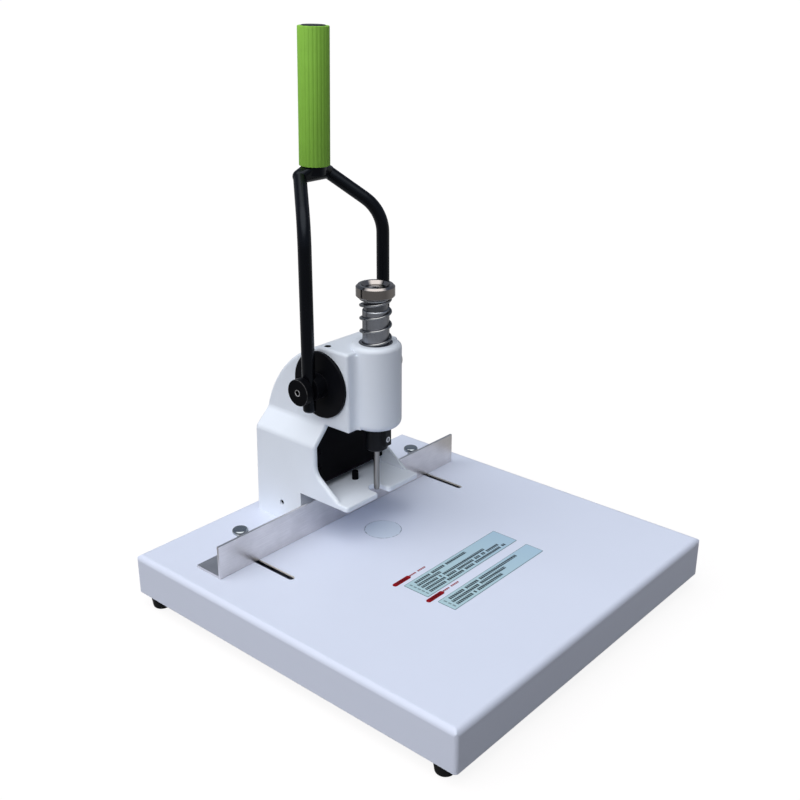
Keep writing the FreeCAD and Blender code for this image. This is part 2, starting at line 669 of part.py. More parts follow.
def front_profile():
    """The front outline as a bar along the depth, with soft creases."""
    points = front_outline(0.0, 0.0, HEAD_TOP_HEIGHT)
    bar = closed_face(lambda x, height: vec(x, 0, above(height)), points)
    bar = bar.extrude(vec(0, COLUMN_BACK_Y + OVERCUT, 0))
    for height in (SHOULDER_HEIGHT, HEAD_UNDERSIDE_HEIGHT):
        bar = rounded(bar, CREASE_ROUNDING, lambda e, m: near(m.z, above(height)) and runs_along(e, 1))
    return bar


def on_outline_rim(edge, middle):
    """Edges where the side profile meets the left and right faces, apart from the foot."""
    if runs_along(edge, 0) or abs(middle.x) < HEAD_HALF_WIDTH - OVERCUT:
        return False
    if runs_along(edge, 1) and middle.z < above(SHOULDER_HEIGHT) + OVERCUT:
        return False
    if near(middle.y, COLUMN_FRONT_Y) or near(middle.y, CHEEK_TOE_Y):
        return False
    if near(middle.z, above(HEAD_UNDERSIDE_HEIGHT)):
        return False
    bounds = edge.BoundBox
    return bounds.ZLength > LEAST_RISE or near(middle.z, above(HEAD_TOP_HEIGHT))


def head_bottom_rounds():
    """Cutters that round the lower front and side edges of the head in front of the cheeks."""
    radius = HEAD_BOTTOM_ROUNDING
    bottom = above(HEAD_UNDERSIDE_HEIGHT) - OVERCUT
    top = above(HEAD_UNDERSIDE_HEIGHT) + radius
    width = COLUMN_HALF_WIDTH
    inner_y = HEAD_FRONT_Y + radius
    inner_x = HEAD_HALF_WIDTH - radius
    front = box(-width, width, HEAD_FRONT_Y - OVERCUT, inner_y, bottom, top)
    front = front.cut(rod_x(radius, -width, width, inner_y, top))
    side = box(-width, -inner_x, HEAD_FRONT_Y - OVERCUT, CHEEK_FRONT_Y, bottom, top)
    side = side.cut(rod_y(radius, HEAD_FRONT_Y - OVERCUT, CHEEK_FRONT_Y, -inner_x, top))
    return [front, side, mirrored(side)]


def casting_shell_form():
    """Solid outer form of column, cheeks and head block."""
    form = side_profile().common(front_profile())
    return rounded(form, RIM_ROUNDING, on_outline_rim).cut(head_bottom_rounds())


def spindle_boss():
    """Upright round boss at the front of the head, a little higher than the head."""
    bottom = above(HEAD_UNDERSIDE_HEIGHT)
    top = above(SPINDLE_BOSS_TOP_HEIGHT)
    boss = rod_z(SPINDLE_BOSS_RADIUS, bottom, top, 0, SPINDLE_Y)
    boss = rounded(boss, BOSS_TOP_ROUNDING, lambda e, m: near(m.z, top) and not runs_along(e, 2))
    return rounded(boss, BOSS_BOTTOM_ROUNDING, lambda e, m: near(m.z, bottom) and not runs_along(e, 2))


def boss_blend():
    """Fills the two corners between the boss and the front of the head with a hollow round."""
    radius = BOSS_BLEND_RADIUS
    centre_y = HEAD_FRONT_Y - radius
    reach = SPINDLE_BOSS_RADIUS + radius
    centre_x = math.sqrt(reach ** 2 - (centre_y - SPINDLE_Y) ** 2)
    bottom = above(HEAD_UNDERSIDE_HEIGHT) + BOSS_BLEND_RISE
    top = above(HEAD_TOP_HEIGHT) - RIM_ROUNDING
    block = box(-centre_x, centre_x, centre_y, HEAD_FRONT_Y + RIM_ROUNDING, bottom, top)
    rounds = [rod_z(radius, bottom - OVERCUT, top + OVERCUT, x, centre_y) for x in (-centre_x, centre_x)]
    return block.cut(rounds)


def punch_slot():
    """Cutter for the open slot that the punch passes through."""
    bottom = above(PLATE_UNDERSIDE_HEIGHT) - OVERCUT
    top = above(PLATE_TOP_HEIGHT) + OVERCUT
    half = PLATE_SLOT_WIDTH / 2.0
    end_y = PLATE_FRONT_Y + PLATE_SLOT_DEPTH - half
    straight = box(-half, half, PLATE_FRONT_Y - OVERCUT, end_y, bottom, top)
    return straight.fuse(rod_z(half, bottom, top, 0, end_y))


def guard_plate():
    """Plate under the throat that holds the paper down."""
    bottom = above(PLATE_UNDERSIDE_HEIGHT)
    top = above(PLATE_TOP_HEIGHT)
    width = COLUMN_HALF_WIDTH
    plate = box(-width, width, PLATE_FRONT_Y, COLUMN_FRONT_Y + CASTING_WALL, bottom, top)
    plate = plate.cut(punch_slot())

    def front_corner(x):
        return lambda e, m: runs_along(e, 2) and near(m.y, PLATE_FRONT_Y) and near(abs(m.x), x)

    plate = rounded(plate, PLATE_CORNER_RADIUS, front_corner(width))
    plate = rounded(plate, PLATE_SLOT_ROUNDING, front_corner(PLATE_SLOT_WIDTH / 2.0))
    return rounded(plate, PLATE_EDGE_ROUNDING, lambda e, m: near(m.z, top) and m.y < CHEEK_TOE_Y)


def throat_room():
    """Room between the cheeks and inside the column and the head."""
    points = front_outline(CHEEK_WALL, PLATE_TOP_HEIGHT, HEAD_UNDERSIDE_HEIGHT)
    front = PLATE_FRONT_Y - OVERCUT
    face = closed_face(lambda x, height: vec(x, front, above(height)), points)
    return face.extrude(vec(0, LINER_BACK_Y - front, 0))


def inner_room():
    """Hollow of the column and head behind the throat."""
    def place(y, height):
        return vec(-COLUMN_HALF_WIDTH, y, above(height))
    top = HEAD_TOP_HEIGHT - CASTING_WALL
    over = HEAD_UNDERSIDE_HEIGHT + CASTING_WALL
    wall_front = COLUMN_FRONT_Y + CASTING_WALL
    bore_back = SPINDLE_Y + GUIDE_BUSH_RADIUS + CASTING_WALL
    start = (bore_back, over)
    steps = [
        (bore_back, top),
        (HEAD_TOP_BACK_Y - CASTING_WALL * math.tan(CREST_HALF_TURN), top),
        (HEAD_BACK_VIA_Y - CASTING_WALL, HEAD_BACK_VIA_HEIGHT - CASTING_WALL,
         KNEE_Y - CASTING_WALL, KNEE_HEIGHT),
        (COLUMN_BACK_Y - CASTING_WALL, -OVERCUT),
        (wall_front, -OVERCUT),
        (wall_front, PLATE_TOP_HEIGHT),
        (LINER_BACK_Y, PLATE_TOP_HEIGHT),
        (LINER_BACK_Y, over),
        start,
    ]
    slab = face_from(place, start, steps).extrude(vec(2 * COLUMN_HALF_WIDTH, 0, 0))
    points = front_outline(CASTING_WALL, -OVERCUT, top)
    bar = closed_face(lambda x, height: vec(x, 0, above(height)), points)
    return slab.common(bar.extrude(vec(0, COLUMN_BACK_Y + OVERCUT, 0)))


def column_bosses():
    """Tapped bosses in the column for the four body bolts."""
    bosses = []
    top = above(BODY_BOLT_GRIP + BODY_BOLT_BOSS_FLOOR)
    side = COLUMN_HALF_WIDTH - CASTING_WALL / 2.0
    half_rib = BODY_BOLT_RIB_WIDTH / 2.0
    for y in (BODY_BOLT_FRONT_Y, BODY_BOLT_BACK_Y):
        post = rod_z(BODY_BOLT_BOSS_RADIUS, TABLE_Z, top, BODY_BOLT_X, y)
        rib = box(BODY_BOLT_X, side, y - half_rib, y + half_rib, TABLE_Z, top)
        right = post.fuse(rib)
        bosses += [right, mirrored(right)]
    return bosses


def liner_ribs():
    """Ribs inside the cheeks that the liner is screwed to."""
    outer = COLUMN_HALF_WIDTH - CHEEK_WALL
    right = box(outer - LINER_RIB_WIDTH, outer, LINER_BACK_Y, LINER_BACK_Y + LINER_RIB_DEPTH,
                above(LINER_BOTTOM_HEIGHT), above(SHOULDER_HEIGHT - LINER_RIB_SETBACK))
    return [right, mirrored(right)]


def bearing_bosses():
    """Round bosses inside the head walls for the pivot bushes."""
    y, z = PIVOT_Y, above(PIVOT_HEIGHT)
    right = rod_x(BEARING_BOSS_RADIUS, BEARING_BOSS_INNER_X, HEAD_HALF_WIDTH - CASTING_WALL / 2.0, y, z)
    return [right, mirrored(right)]


def casting_bores():
    """Holes and wells machined in the casting."""
    spindle_low = above(HEAD_UNDERSIDE_HEIGHT) - OVERCUT
    seat = above(SPRING_SEAT_HEIGHT)
    top = above(SPINDLE_BOSS_TOP_HEIGHT) + OVERCUT
    y, z = PIVOT_Y, above(PIVOT_HEIGHT)
    half_window = PINION_FACE / 2.0 + PINION_ROOM
    bearing_end = HEAD_HALF_WIDTH + OVERCUT
    cuts = [
        rod_z(GUIDE_BUSH_RADIUS, spindle_low, seat + OVERCUT, 0, SPINDLE_Y),
        rod_z(SPRING_WELL_RADIUS, seat, top, 0, SPINDLE_Y),
        rod_x(PIVOT_BUSH_RADIUS, -bearing_end, bearing_end, y, z),
        rod_x(PINION_TIP_RADIUS + PINION_ROOM, -half_window, half_window, y, z),
        punch_slot(),
    ]
    for x, y in body_bolt_places():
        cuts.append(rod_z(BODY_BOLT_RADIUS, TABLE_Z - OVERCUT, above(BODY_BOLT_GRIP), x, y))
    grub_floor = above(HEAD_TOP_HEIGHT) - TOP_GRUB_HOLE_DEPTH
    side = COLUMN_HALF_WIDTH + OVERCUT
    inner_side = COLUMN_HALF_WIDTH - CASTING_WALL - OVERCUT
    handed = [
        rod_z(TOP_GRUB_RADIUS, grub_floor, top, TOP_GRUB_X, TOP_GRUB_Y),
        rod_x(SIDE_GRUB_RADIUS, inner_side, side, SIDE_GRUB_Y, above(SIDE_GRUB_HEIGHT)),
    ]
    for height in LINER_SCREW_HEIGHTS:
        handed.append(rod_y(LINER_SCREW_RADIUS, LINER_BACK_Y - OVERCUT,
                            LINER_BACK_Y + LINER_RIB_DEPTH + OVERCUT, RIB_X, above(height)))
    return cuts + handed + [mirrored(cut) for cut in handed]


def body_casting():
    """Hollow white casting: column, cheeks, guard plate, head and spindle boss."""
    solid = casting_shell_form().cut([throat_room(), inner_room()])
    solid = solid.fuse([guard_plate(), spindle_boss(), boss_blend()] + column_bosses()
                       + liner_ribs() + bearing_bosses())
    return solid.cut(casting_bores()).removeSplitter()


def throat_liner():
    """Black panel that closes the back of the throat."""
    inset = CHEEK_WALL + LINER_CLEARANCE
    points = front_outline(inset, LINER_BOTTOM_HEIGHT, HEAD_UNDERSIDE_HEIGHT - LINER_CLEARANCE)
    face = closed_face(lambda x, height: vec(x, LINER_FRONT_Y, above(height)), points)
    panel = face.extrude(vec(0, LINER_THICKNESS, 0))
    holes = [rod_y(LINER_SCREW_RADIUS, LINER_FRONT_Y - OVERCUT, LINER_BACK_Y + OVERCUT, x, above(height))
             for x in (-RIB_X, RIB_X) for height in LINER_SCREW_HEIGHTS]
    return panel.cut(holes)


def liner_screws():
    """Small screws through the liner into the ribs."""
    front = LINER_FRONT_Y - LINER_SCREW_HEAD_THICKNESS
    screws = []
    for x in (-RIB_X, RIB_X):
        for height in LINER_SCREW_HEIGHTS:
            z = above(height)
            head = rod_y(LINER_SCREW_HEAD_RADIUS, front, LINER_FRONT_Y, x, z)
            shank = rod_y(LINER_SCREW_RADIUS, LINER_FRONT_Y, LINER_FRONT_Y + LINER_SCREW_LENGTH, x, z)
            socket = hexagon_hole(LINER_SCREW_HEX, LINER_SCREW_HEX_DEPTH, vec(x, front, z), vec(0, 1, 0))
            screws.append(head.fuse(shank).cut(socket))
    return Part.makeCompound(screws)


def liner_post():
    """Short black post on the guard plate, in front of the middle of the liner."""
    y = LINER_FRONT_Y - LINER_POST_LEAD
    top = above(PLATE_TOP_HEIGHT + LINER_POST_HEIGHT)
    post = rod_z(LINER_POST_RADIUS, above(PLATE_TOP_HEIGHT), top, 0, y)
    return rounded(post, LINER_POST_ROUNDING, lambda e, m: near(m.z, top) and not runs_along(e, 2))


def top_grub_screws():
    """Grub screws just below the top of the head, over the bearings."""
    top = above(HEAD_TOP_HEIGHT) - GRUB_RECESS
    screw = rod_z(TOP_GRUB_RADIUS, top - TOP_GRUB_LENGTH, top, -TOP_GRUB_X, TOP_GRUB_Y)
    socket = hexagon_hole(GRUB_HEX, GRUB_HEX_DEPTH, vec(-TOP_GRUB_X, TOP_GRUB_Y, top), vec(0, 0, -1))
    return both_sides(screw.cut(socket))


def side_grub_screws():
    """Grub screws low in the sides of the column."""
    outer = -(COLUMN_HALF_WIDTH - GRUB_RECESS)
    z = above(SIDE_GRUB_HEIGHT)
    screw = rod_x(SIDE_GRUB_RADIUS, outer, outer + SIDE_GRUB_LENGTH, SIDE_GRUB_Y, z)
    screw = screw.cut(hexagon_hole(GRUB_HEX, GRUB_HEX_DEPTH, vec(outer, SIDE_GRUB_Y, z), vec(1, 0, 0)))
    return both_sides(screw)


# ---- Bushes --------------------------------------------------------------
def guide_bush(bottom, top):
    """Bronze sleeve that guides the plunger."""
    sleeve = rod_z(GUIDE_BUSH_RADIUS, bottom, top, 0, SPINDLE_Y)
    bore = PLUNGER_RADIUS + RUNNING_CLEARANCE
    return sleeve.cut(rod_z(bore, bottom - OVERCUT, top + OVERCUT, 0, SPINDLE_Y))


def upper_guide_bush():
    """Upper sleeve; its top is the spring's seat."""
    top = above(SPRING_SEAT_HEIGHT)
    return guide_bush(top - UPPER_BUSH_LENGTH, top)


def lower_guide_bush():
    """Lower sleeve, just inside the underside of the head."""
    bottom = above(HEAD_UNDERSIDE_HEIGHT + LOWER_BUSH_RECESS)
    return guide_bush(bottom, bottom + LOWER_BUSH_LENGTH)


def pivot_bush_left():
    """Bronze sleeve in the left wall of the head."""
    y, z = PIVOT_Y, above(PIVOT_HEIGHT)
    sleeve = rod_x(PIVOT_BUSH_RADIUS, -HEAD_HALF_WIDTH, -BEARING_BOSS_INNER_X, y, z)
    return sleeve.cut(rod_x(SHAFT_RADIUS + RUNNING_CLEARANCE, -HEAD_HALF_WIDTH - OVERCUT,
                            -BEARING_BOSS_INNER_X + OVERCUT, y, z))


# ---- Plunger -------------------------------------------------------------
def rack_gap(z):
    """Cutter for one gap of the rack, centred at a height."""
    pitch_y = PIVOT_Y - PITCH_RADIUS
    tip_y = pitch_y + GEAR_MODULE
    root_y = pitch_y - 1.25 * GEAR_MODULE
    slope = math.tan(PRESSURE_ANGLE)
    half_pitch = TOOTH_PITCH / 4.0 + TOOTH_BACKLASH / 2.0
    over = tip_y + GEAR_MODULE
    half_over = half_pitch + (over - pitch_y) * slope
    half_root = half_pitch + (root_y - pitch_y) * slope
    points = [(over, half_over), (over, -half_over), (root_y, -half_root), (root_y, half_root)]
    face = closed_face(lambda y, height: vec(-PLUNGER_RADIUS, y, z + height), points)
    return face.extrude(vec(2 * PLUNGER_RADIUS, 0, 0))


def plunger():
    """Round steel bar with a rack along its back and a slimmer neck under the cap."""
    bottom = above(PLUNGER_BOTTOM_HEIGHT)
    top = above(CAP_UNDERSIDE_HEIGHT)
    shoulder = top - PLUNGER_NECK_LENGTH
    bar = rod_z(PLUNGER_RADIUS, bottom, shoulder, 0, SPINDLE_Y)
    bar = rounded(bar, PLUNGER_SHOULDER_ROUNDING, lambda e, m: near(m.z, shoulder) and not runs_along(e, 2))
    bar = bar.fuse(rod_z(PLUNGER_NECK_RADIUS, shoulder - OVERCUT, top, 0, SPINDLE_Y)).removeSplitter()
    mesh_z = above(PIVOT_HEIGHT)
    tip_y = PIVOT_Y - PITCH_RADIUS + GEAR_MODULE
    gaps = math.ceil(STROKE / TOOTH_PITCH) + RACK_LEAD
    rack_low = mesh_z - (RACK_LEAD + 0.5) * TOOTH_PITCH
    rack_high = mesh_z + (gaps + 0.5) * TOOTH_PITCH
    back = SPINDLE_Y + PLUNGER_RADIUS + OVERCUT
    cuts = [box(-PLUNGER_RADIUS, PLUNGER_RADIUS, tip_y, back, rack_low, rack_high)]
    cuts += [rack_gap(mesh_z + index * TOOTH_PITCH) for index in range(-RACK_LEAD, gaps + 1)]
    cuts.append(rod_z(CHUCK_SHANK_RADIUS, bottom - OVERCUT, bottom + CHUCK_SHANK_LENGTH, 0, SPINDLE_Y))
    cuts.append(rod_z(CAP_SCREW_RADIUS, top - CAP_SCREW_LENGTH, top + OVERCUT, 0, SPINDLE_Y))
    return bar.cut(cuts)


def return_spring():
    """Coil spring between the well's floor and the cap, with both ends ground flat."""
    length = CAP_UNDERSIDE_HEIGHT - SPRING_SEAT_HEIGHT
    radius = SPRING_OUTER_RADIUS - SPRING_WIRE_RADIUS
    spare = 2.0 * SPRING_WIRE_RADIUS
    helix = Part.makeHelix(length / SPRING_TURNS, length + 2.0 * spare, radius)
    start = helix.Edges[0].valueAt(helix.Edges[0].FirstParameter)
    tangent = helix.Edges[0].tangentAt(helix.Edges[0].FirstParameter)
    circle = Part.Wire(Part.makeCircle(SPRING_WIRE_RADIUS, start, tangent))
    coil = Part.Wire(helix.Edges).makePipeShell([circle], True, True)
    reach = SPRING_OUTER_RADIUS + OVERCUT
    coil = coil.common(box(-reach, reach, -reach, reach, spare, length + spare))
    coil.translate(vec(0, SPINDLE_Y, above(SPRING_SEAT_HEIGHT) - spare))
    return coil


def spring_cap():
    """Bright round cap with bevelled rims and a dished top."""
    low = above(CAP_UNDERSIDE_HEIGHT)
    high = low + CAP_THICKNESS
    cap = turned(0, SPINDLE_Y, [
        (0.0, low),
        (CAP_RADIUS - CAP_BOTTOM_CHAMFER, low),
        (CAP_RADIUS, low + CAP_BOTTOM_CHAMFER),
        (CAP_RADIUS, high - CAP_TOP_CHAMFER),
        (CAP_RADIUS - CAP_TOP_CHAMFER, high),
        (CAP_DISH_RADIUS, high),
        (CAP_DISH_FLOOR_RADIUS, high - CAP_DISH_DEPTH),
        (0.0, high - CAP_DISH_DEPTH),
    ])
    seat = high - CAP_DISH_DEPTH - CAP_SCREW_HEAD_THICKNESS
    cuts = [rod_z(CAP_SCREW_RADIUS, low - OVERCUT, high, 0, SPINDLE_Y),
            rod_z(CAP_SCREW_HEAD_RADIUS, seat, high, 0, SPINDLE_Y)]
    return cap.cut(cuts)


def cap_screw():
    """Flat socket screw that holds the cap on the plunger."""
    high = above(CAP_UNDERSIDE_HEIGHT) + CAP_THICKNESS - CAP_DISH_DEPTH
    seat = high - CAP_SCREW_HEAD_THICKNESS
    end = above(CAP_UNDERSIDE_HEIGHT) - CAP_SCREW_LENGTH
    head = rod_z(CAP_SCREW_HEAD_RADIUS, seat, high, 0, SPINDLE_Y)
    head = rounded(head, CAP_SCREW_ROUNDING, lambda e, m: near(m.z, high) and not runs_along(e, 2))
    screw = head.fuse(rod_z(CAP_SCREW_RADIUS, end, seat, 0, SPINDLE_Y))
    socket = hexagon_hole(CAP_SCREW_HEX, CAP_SCREW_HEX_DEPTH, vec(0, SPINDLE_Y, high), vec(0, 0, -1))
    return screw.cut(socket)


def punch_chuck():
    """Black holder of the punch, with a lug in front for its screw and a chip window behind."""
    bottom = above(CHUCK_BOTTOM_HEIGHT)
    shoulder = above(PLUNGER_BOTTOM_HEIGHT)
    top = shoulder + CHUCK_SHANK_LENGTH
    body = turned(0, SPINDLE_Y, [
        (0.0, bottom),
        (CHUCK_RADIUS - CHUCK_CHAMFER, bottom),
        (CHUCK_RADIUS, bottom + CHUCK_CHAMFER),
        (CHUCK_RADIUS, shoulder),
        (CHUCK_SHANK_RADIUS, shoulder),
        (CHUCK_SHANK_RADIUS, top),
        (0.0, top),
    ])
    seat = bottom + PUNCH_GRIP
    window_top = seat + CHIP_WINDOW_HEIGHT
    half = CHIP_WINDOW_WIDTH / 2.0
    front = SPINDLE_Y - CHUCK_LUG_REACH
    screw_z = above(CHUCK_SCREW_HEIGHT)
    lug = box(-CHUCK_LUG_HALF_WIDTH, CHUCK_LUG_HALF_WIDTH, front, SPINDLE_Y,
              screw_z - CHUCK_LUG_DROP, above(CHUCK_LUG_TOP_HEIGHT))
    lug = rounded(lug, CHUCK_LUG_ROUNDING, lambda e, m: near(m.y, front) and not runs_along(e, 1))
    cuts = [
        rod_z(PUNCH_RADIUS, bottom - OVERCUT, seat, 0, SPINDLE_Y),
        rod_z(PUNCH_BORE_RADIUS, seat - OVERCUT, window_top, 0, SPINDLE_Y),
        box(-half, half, SPINDLE_Y, SPINDLE_Y + CHUCK_RADIUS + OVERCUT, seat + CHIP_WINDOW_SILL, window_top),
        rod_y(CHUCK_SCREW_RADIUS, front - OVERCUT, SPINDLE_Y - PUNCH_RADIUS + OVERCUT, 0, screw_z),
        rod_y(CHUCK_SCREW_HEAD_RADIUS, front - OVERCUT, front + CHUCK_SCREW_SEAT_DEPTH, 0, screw_z),
    ]
    return body.fuse(lug).cut(cuts)


def punch():
    """Hollow punch with a sharpened tip."""
    tip = above(PUNCH_TIP_HEIGHT)
    top = above(CHUCK_BOTTOM_HEIGHT) + PUNCH_GRIP
    return turned(0, SPINDLE_Y, [
        (PUNCH_BORE_RADIUS, tip),
        (PUNCH_BORE_RADIUS + PUNCH_TIP_LAND, tip),
        (PUNCH_RADIUS, tip + PUNCH_TIP_BEVEL),
        (PUNCH_RADIUS, top),
        (PUNCH_BORE_RADIUS, top),
    ])


def chuck_screw():
    """Socket screw in the chuck's lug that clamps the punch, almost flush with the lug."""
    z = above(CHUCK_SCREW_HEIGHT)
    seat = SPINDLE_Y - CHUCK_LUG_REACH + CHUCK_SCREW_SEAT_DEPTH
    front = seat - CHUCK_SCREW_HEAD_THICKNESS
    head = rod_y(CHUCK_SCREW_HEAD_RADIUS, front, seat, 0, z)
    head = rounded(head, CHUCK_SCREW_ROUNDING, lambda e, m: near(m.y, front) and not runs_along(e, 1))
    screw = head.fuse(rod_y(CHUCK_SCREW_RADIUS, seat, SPINDLE_Y - PUNCH_RADIUS, 0, z))
    return screw.cut(hexagon_hole(CHUCK_SCREW_HEX, CHUCK_SCREW_HEX_DEPTH, vec(0, front, z), vec(0, 1, 0)))


# ---- Lever ---------------------------------------------------------------
def arm_path():
    """Centre line of the left arm: straight up, one wide bend, straight to the yoke."""
    foot_point = vec(-ARM_X, PIVOT_Y, above(PIVOT_HEIGHT - ARM_TAIL))
    corner = vec(-ARM_X, PIVOT_Y, above(ARM_CORNER_HEIGHT))
    end = vec(-YOKE_X, YOKE_Y, above(YOKE_HEIGHT))
    upward = vec(0, 0, 1)
    slant = (end - corner).normalize()
    angle = upward.getAngle(slant)
    tangent = ARM_BEND_RADIUS * math.tan(angle / 2.0)
    bend_start = corner - upward * tangent
    bend_end = corner + slant * tangent
    inward = (slant - upward * math.cos(angle)).normalize()
    centre = bend_start + inward * ARM_BEND_RADIUS
    middle = centre + (corner - centre).normalize() * ARM_BEND_RADIUS
    return Part.Wire([
        Part.LineSegment(foot_point, bend_start).toShape(),
        Part.Arc(bend_start, middle, bend_end).toShape(),
        Part.LineSegment(bend_end, end).toShape(),
    ])


def leaned(shape):
    """Turn a piece of the grip about the grip's foot, so that it leans towards the operator."""
    shape.rotate(vec(0, GRIP_Y, above(GRIP_BOTTOM_HEIGHT)), vec(1, 0, 0), GRIP_LEAN)
    return shape


def lever_fork():
    """Black fork: two bent arms, a yoke between them and a hollow stem for the grip."""
    path = arm_path()
    foot_point = path.Edges[0].valueAt(path.Edges[0].FirstParameter)
    circle = Part.Wire(Part.makeCircle(ARM_RADIUS, foot_point, vec(0, 0, 1)))
    arm = path.makePipeShell([circle], True, False)
    arm = rounded(arm, ARM_TAIL_ROUNDING, lambda e, m: near(m.z, foot_point.z) and is_circle(e))
    bore = rod_x(PIVOT_BOLT_RADIUS + PIVOT_BOLT_CLEARANCE, -ARM_X - ARM_RADIUS - OVERCUT,
                 -ARM_X + ARM_RADIUS + OVERCUT, PIVOT_Y, above(PIVOT_HEIGHT))
    arm = arm.cut(bore)
    yoke_z = above(YOKE_HEIGHT)
    yoke = rod_x(ARM_RADIUS, -YOKE_X, YOKE_X, YOKE_Y, yoke_z)
    knuckles = [Part.makeSphere(KNUCKLE_RADIUS, vec(x, YOKE_Y, yoke_z)) for x in (-YOKE_X, YOKE_X)]
    top = above(GRIP_TOP_HEIGHT) + GRIP_PLUG_RISE - GRIP_PLUG_THICKNESS
    stem = leaned(rod_z(STEM_RADIUS, yoke_z, top, 0, GRIP_Y))
    bore_low = above(GRIP_BOTTOM_HEIGHT) + STEM_BORE_START
    stem_bore = leaned(rod_z(STEM_RADIUS - STEM_WALL, bore_low, top + OVERCUT, 0, GRIP_Y))
    fork = arm.fuse([mirrored(arm), yoke, stem] + knuckles)
    return fork.cut(stem_bore).removeSplitter()


def grip_sleeve():
    """Green ribbed sleeve on the stem."""
    low = above(GRIP_BOTTOM_HEIGHT)
    high = above(GRIP_TOP_HEIGHT)
    sleeve = rod_z(GRIP_RADIUS, low, high, 0, GRIP_Y)
    sleeve = rounded(sleeve, GRIP_ROUNDING, lambda e, m: not runs_along(e, 2))
    half = GRIP_GROOVE_WIDTH / 2.0
    grooves = []
    for index in range(GRIP_RIBS):
        groove = box(GRIP_RADIUS - GRIP_GROOVE_DEPTH, GRIP_RADIUS + OVERCUT, -half, half,
                     low - OVERCUT, high + OVERCUT)
        groove.rotate(vec(0, 0, 0), vec(0, 0, 1), 360.0 * index / GRIP_RIBS)
        groove.translate(vec(0, GRIP_Y, 0))
        grooves.append(groove)
    bore = rod_z(GRIP_BORE_RADIUS, low - OVERCUT, high + OVERCUT, 0, GRIP_Y)
    return leaned(sleeve.cut(grooves + [bore]))


def grip_plug():
    """Plastic plug in the top of the stem, a little above the sleeve's rim."""
    top = above(GRIP_TOP_HEIGHT) + GRIP_PLUG_RISE
    under = top - GRIP_PLUG_THICKNESS
    cap = rod_z(STEM_RADIUS, under, top, 0, GRIP_Y)
    cap = rounded(cap, GRIP_ROUNDING, lambda e, m: near(m.z, top) and not runs_along(e, 2))
    return leaned(cap.fuse(rod_z(STEM_RADIUS - STEM_WALL, under - GRIP_PLUG_DEPTH, under, 0, GRIP_Y)))


def shaft_flats():
    """Cutters for the flats at both ends of the pivot shaft."""
    y, z = PIVOT_Y, above(PIVOT_HEIGHT)
    flat_z = z - SHAFT_RADIUS + SHAFT_FLAT
    reach = SHAFT_RADIUS + OVERCUT
    cutter = box(-SHAFT_END_X - OVERCUT, -BEARING_END_X, y - reach, y + reach, flat_z - reach, flat_z)
    return [cutter, mirrored(cutter)]


def pinion_key():
    """Square key between shaft and pinion."""
    half = KEY_WIDTH / 2.0
    z0 = above(PIVOT_HEIGHT) + SHAFT_RADIUS - KEY_DEPTH_IN_SHAFT
    return box(-KEY_LENGTH / 2.0, KEY_LENGTH / 2.0, PIVOT_Y - half, PIVOT_Y + half, z0, z0 + KEY_HEIGHT)


def pivot_shaft():
    """Steel shaft that carries the pinion and turns with both hubs."""
    y, z = PIVOT_Y, above(PIVOT_HEIGHT)
    shaft = rod_x(SHAFT_RADIUS, -SHAFT_END_X, SHAFT_END_X, y, z)
    bolt_end = ARM_X + ARM_RADIUS - PIVOT_BOLT_LENGTH
    tap = rod_x(PIVOT_BOLT_RADIUS, bolt_end, SHAFT_END_X + OVERCUT, y, z)
    return shaft.cut(shaft_flats() + [tap, mirrored(tap), pinion_key()])


def polar(radius, angle):
    """Point at a radius and an angle."""
    return radius * math.cos(angle), radius * math.sin(angle)


def involute_point(angle, turn, side):
    """Point of an involute flank at a roll angle, turned about the pinion's axis."""
    base = PITCH_RADIUS * math.cos(PRESSURE_ANGLE)
    radius = base * math.sqrt(1.0 + angle ** 2)
    return polar(radius, side * (angle - math.atan(angle)) + turn)


def drive_pinion():
    """Spur gear with involute teeth and a hub, bored and keyed."""
    base = PITCH_RADIUS * math.cos(PRESSURE_ANGLE)
    involute = math.tan(PRESSURE_ANGLE) - PRESSURE_ANGLE
    half_tooth = math.pi / (2.0 * PINION_TEETH) - TOOTH_BACKLASH / (4.0 * PITCH_RADIUS)
    tip_roll = math.sqrt((PINION_TIP_RADIUS / base) ** 2 - 1.0)
    rolls = [tip_roll * index / FLANK_SPANS for index in range(FLANK_SPANS + 1)]
    x0 = -PINION_FACE / 2.0
    cy, cz = PIVOT_Y, above(PIVOT_HEIGHT)

    def place(point):
        return vec(x0, cy + point[0], cz + point[1])

    edges = []
    first = None
    last = None
    for index in range(PINION_TEETH):
        middle = math.pi + 2.0 * math.pi * index / PINION_TEETH
        low = middle - half_tooth - involute
        high = middle + half_tooth + involute
        rising = [place(involute_point(roll, low, 1)) for roll in rolls]
        falling = [place(involute_point(roll, high, -1)) for roll in reversed(rolls)]
        root_in = place(polar(PINION_ROOT_RADIUS, low))
        root_out = place(polar(PINION_ROOT_RADIUS, high))
        if last is None:
            first = root_in
        else:
            edges.append(Part.LineSegment(last, root_in).toShape())
        edges.append(Part.LineSegment(root_in, rising[0]).toShape())
        flank = Part.BSplineCurve()
        flank.interpolate(rising)
        edges.append(flank.toShape())
        crown = place(polar(PINION_TIP_RADIUS, middle))
        edges.append(Part.Arc(rising[-1], crown, falling[0]).toShape())
        flank = Part.BSplineCurve()
        flank.interpolate(falling)
        edges.append(flank.toShape())
        edges.append(Part.LineSegment(falling[-1], root_out).toShape())
        last = root_out
    edges.append(Part.LineSegment(last, first).toShape())
    gear = Part.Face(Part.Wire(edges)).extrude(vec(PINION_FACE, 0, 0))
    hub_end = BEARING_BOSS_INNER_X - SIDE_CLEARANCE
    hub = rod_x(PINION_HUB_RADIUS, -hub_end, hub_end, cy, cz)
    bore = rod_x(SHAFT_RADIUS, -hub_end - OVERCUT, hub_end + OVERCUT, cy, cz)
    return gear.fuse(hub).cut([bore, pinion_key()])


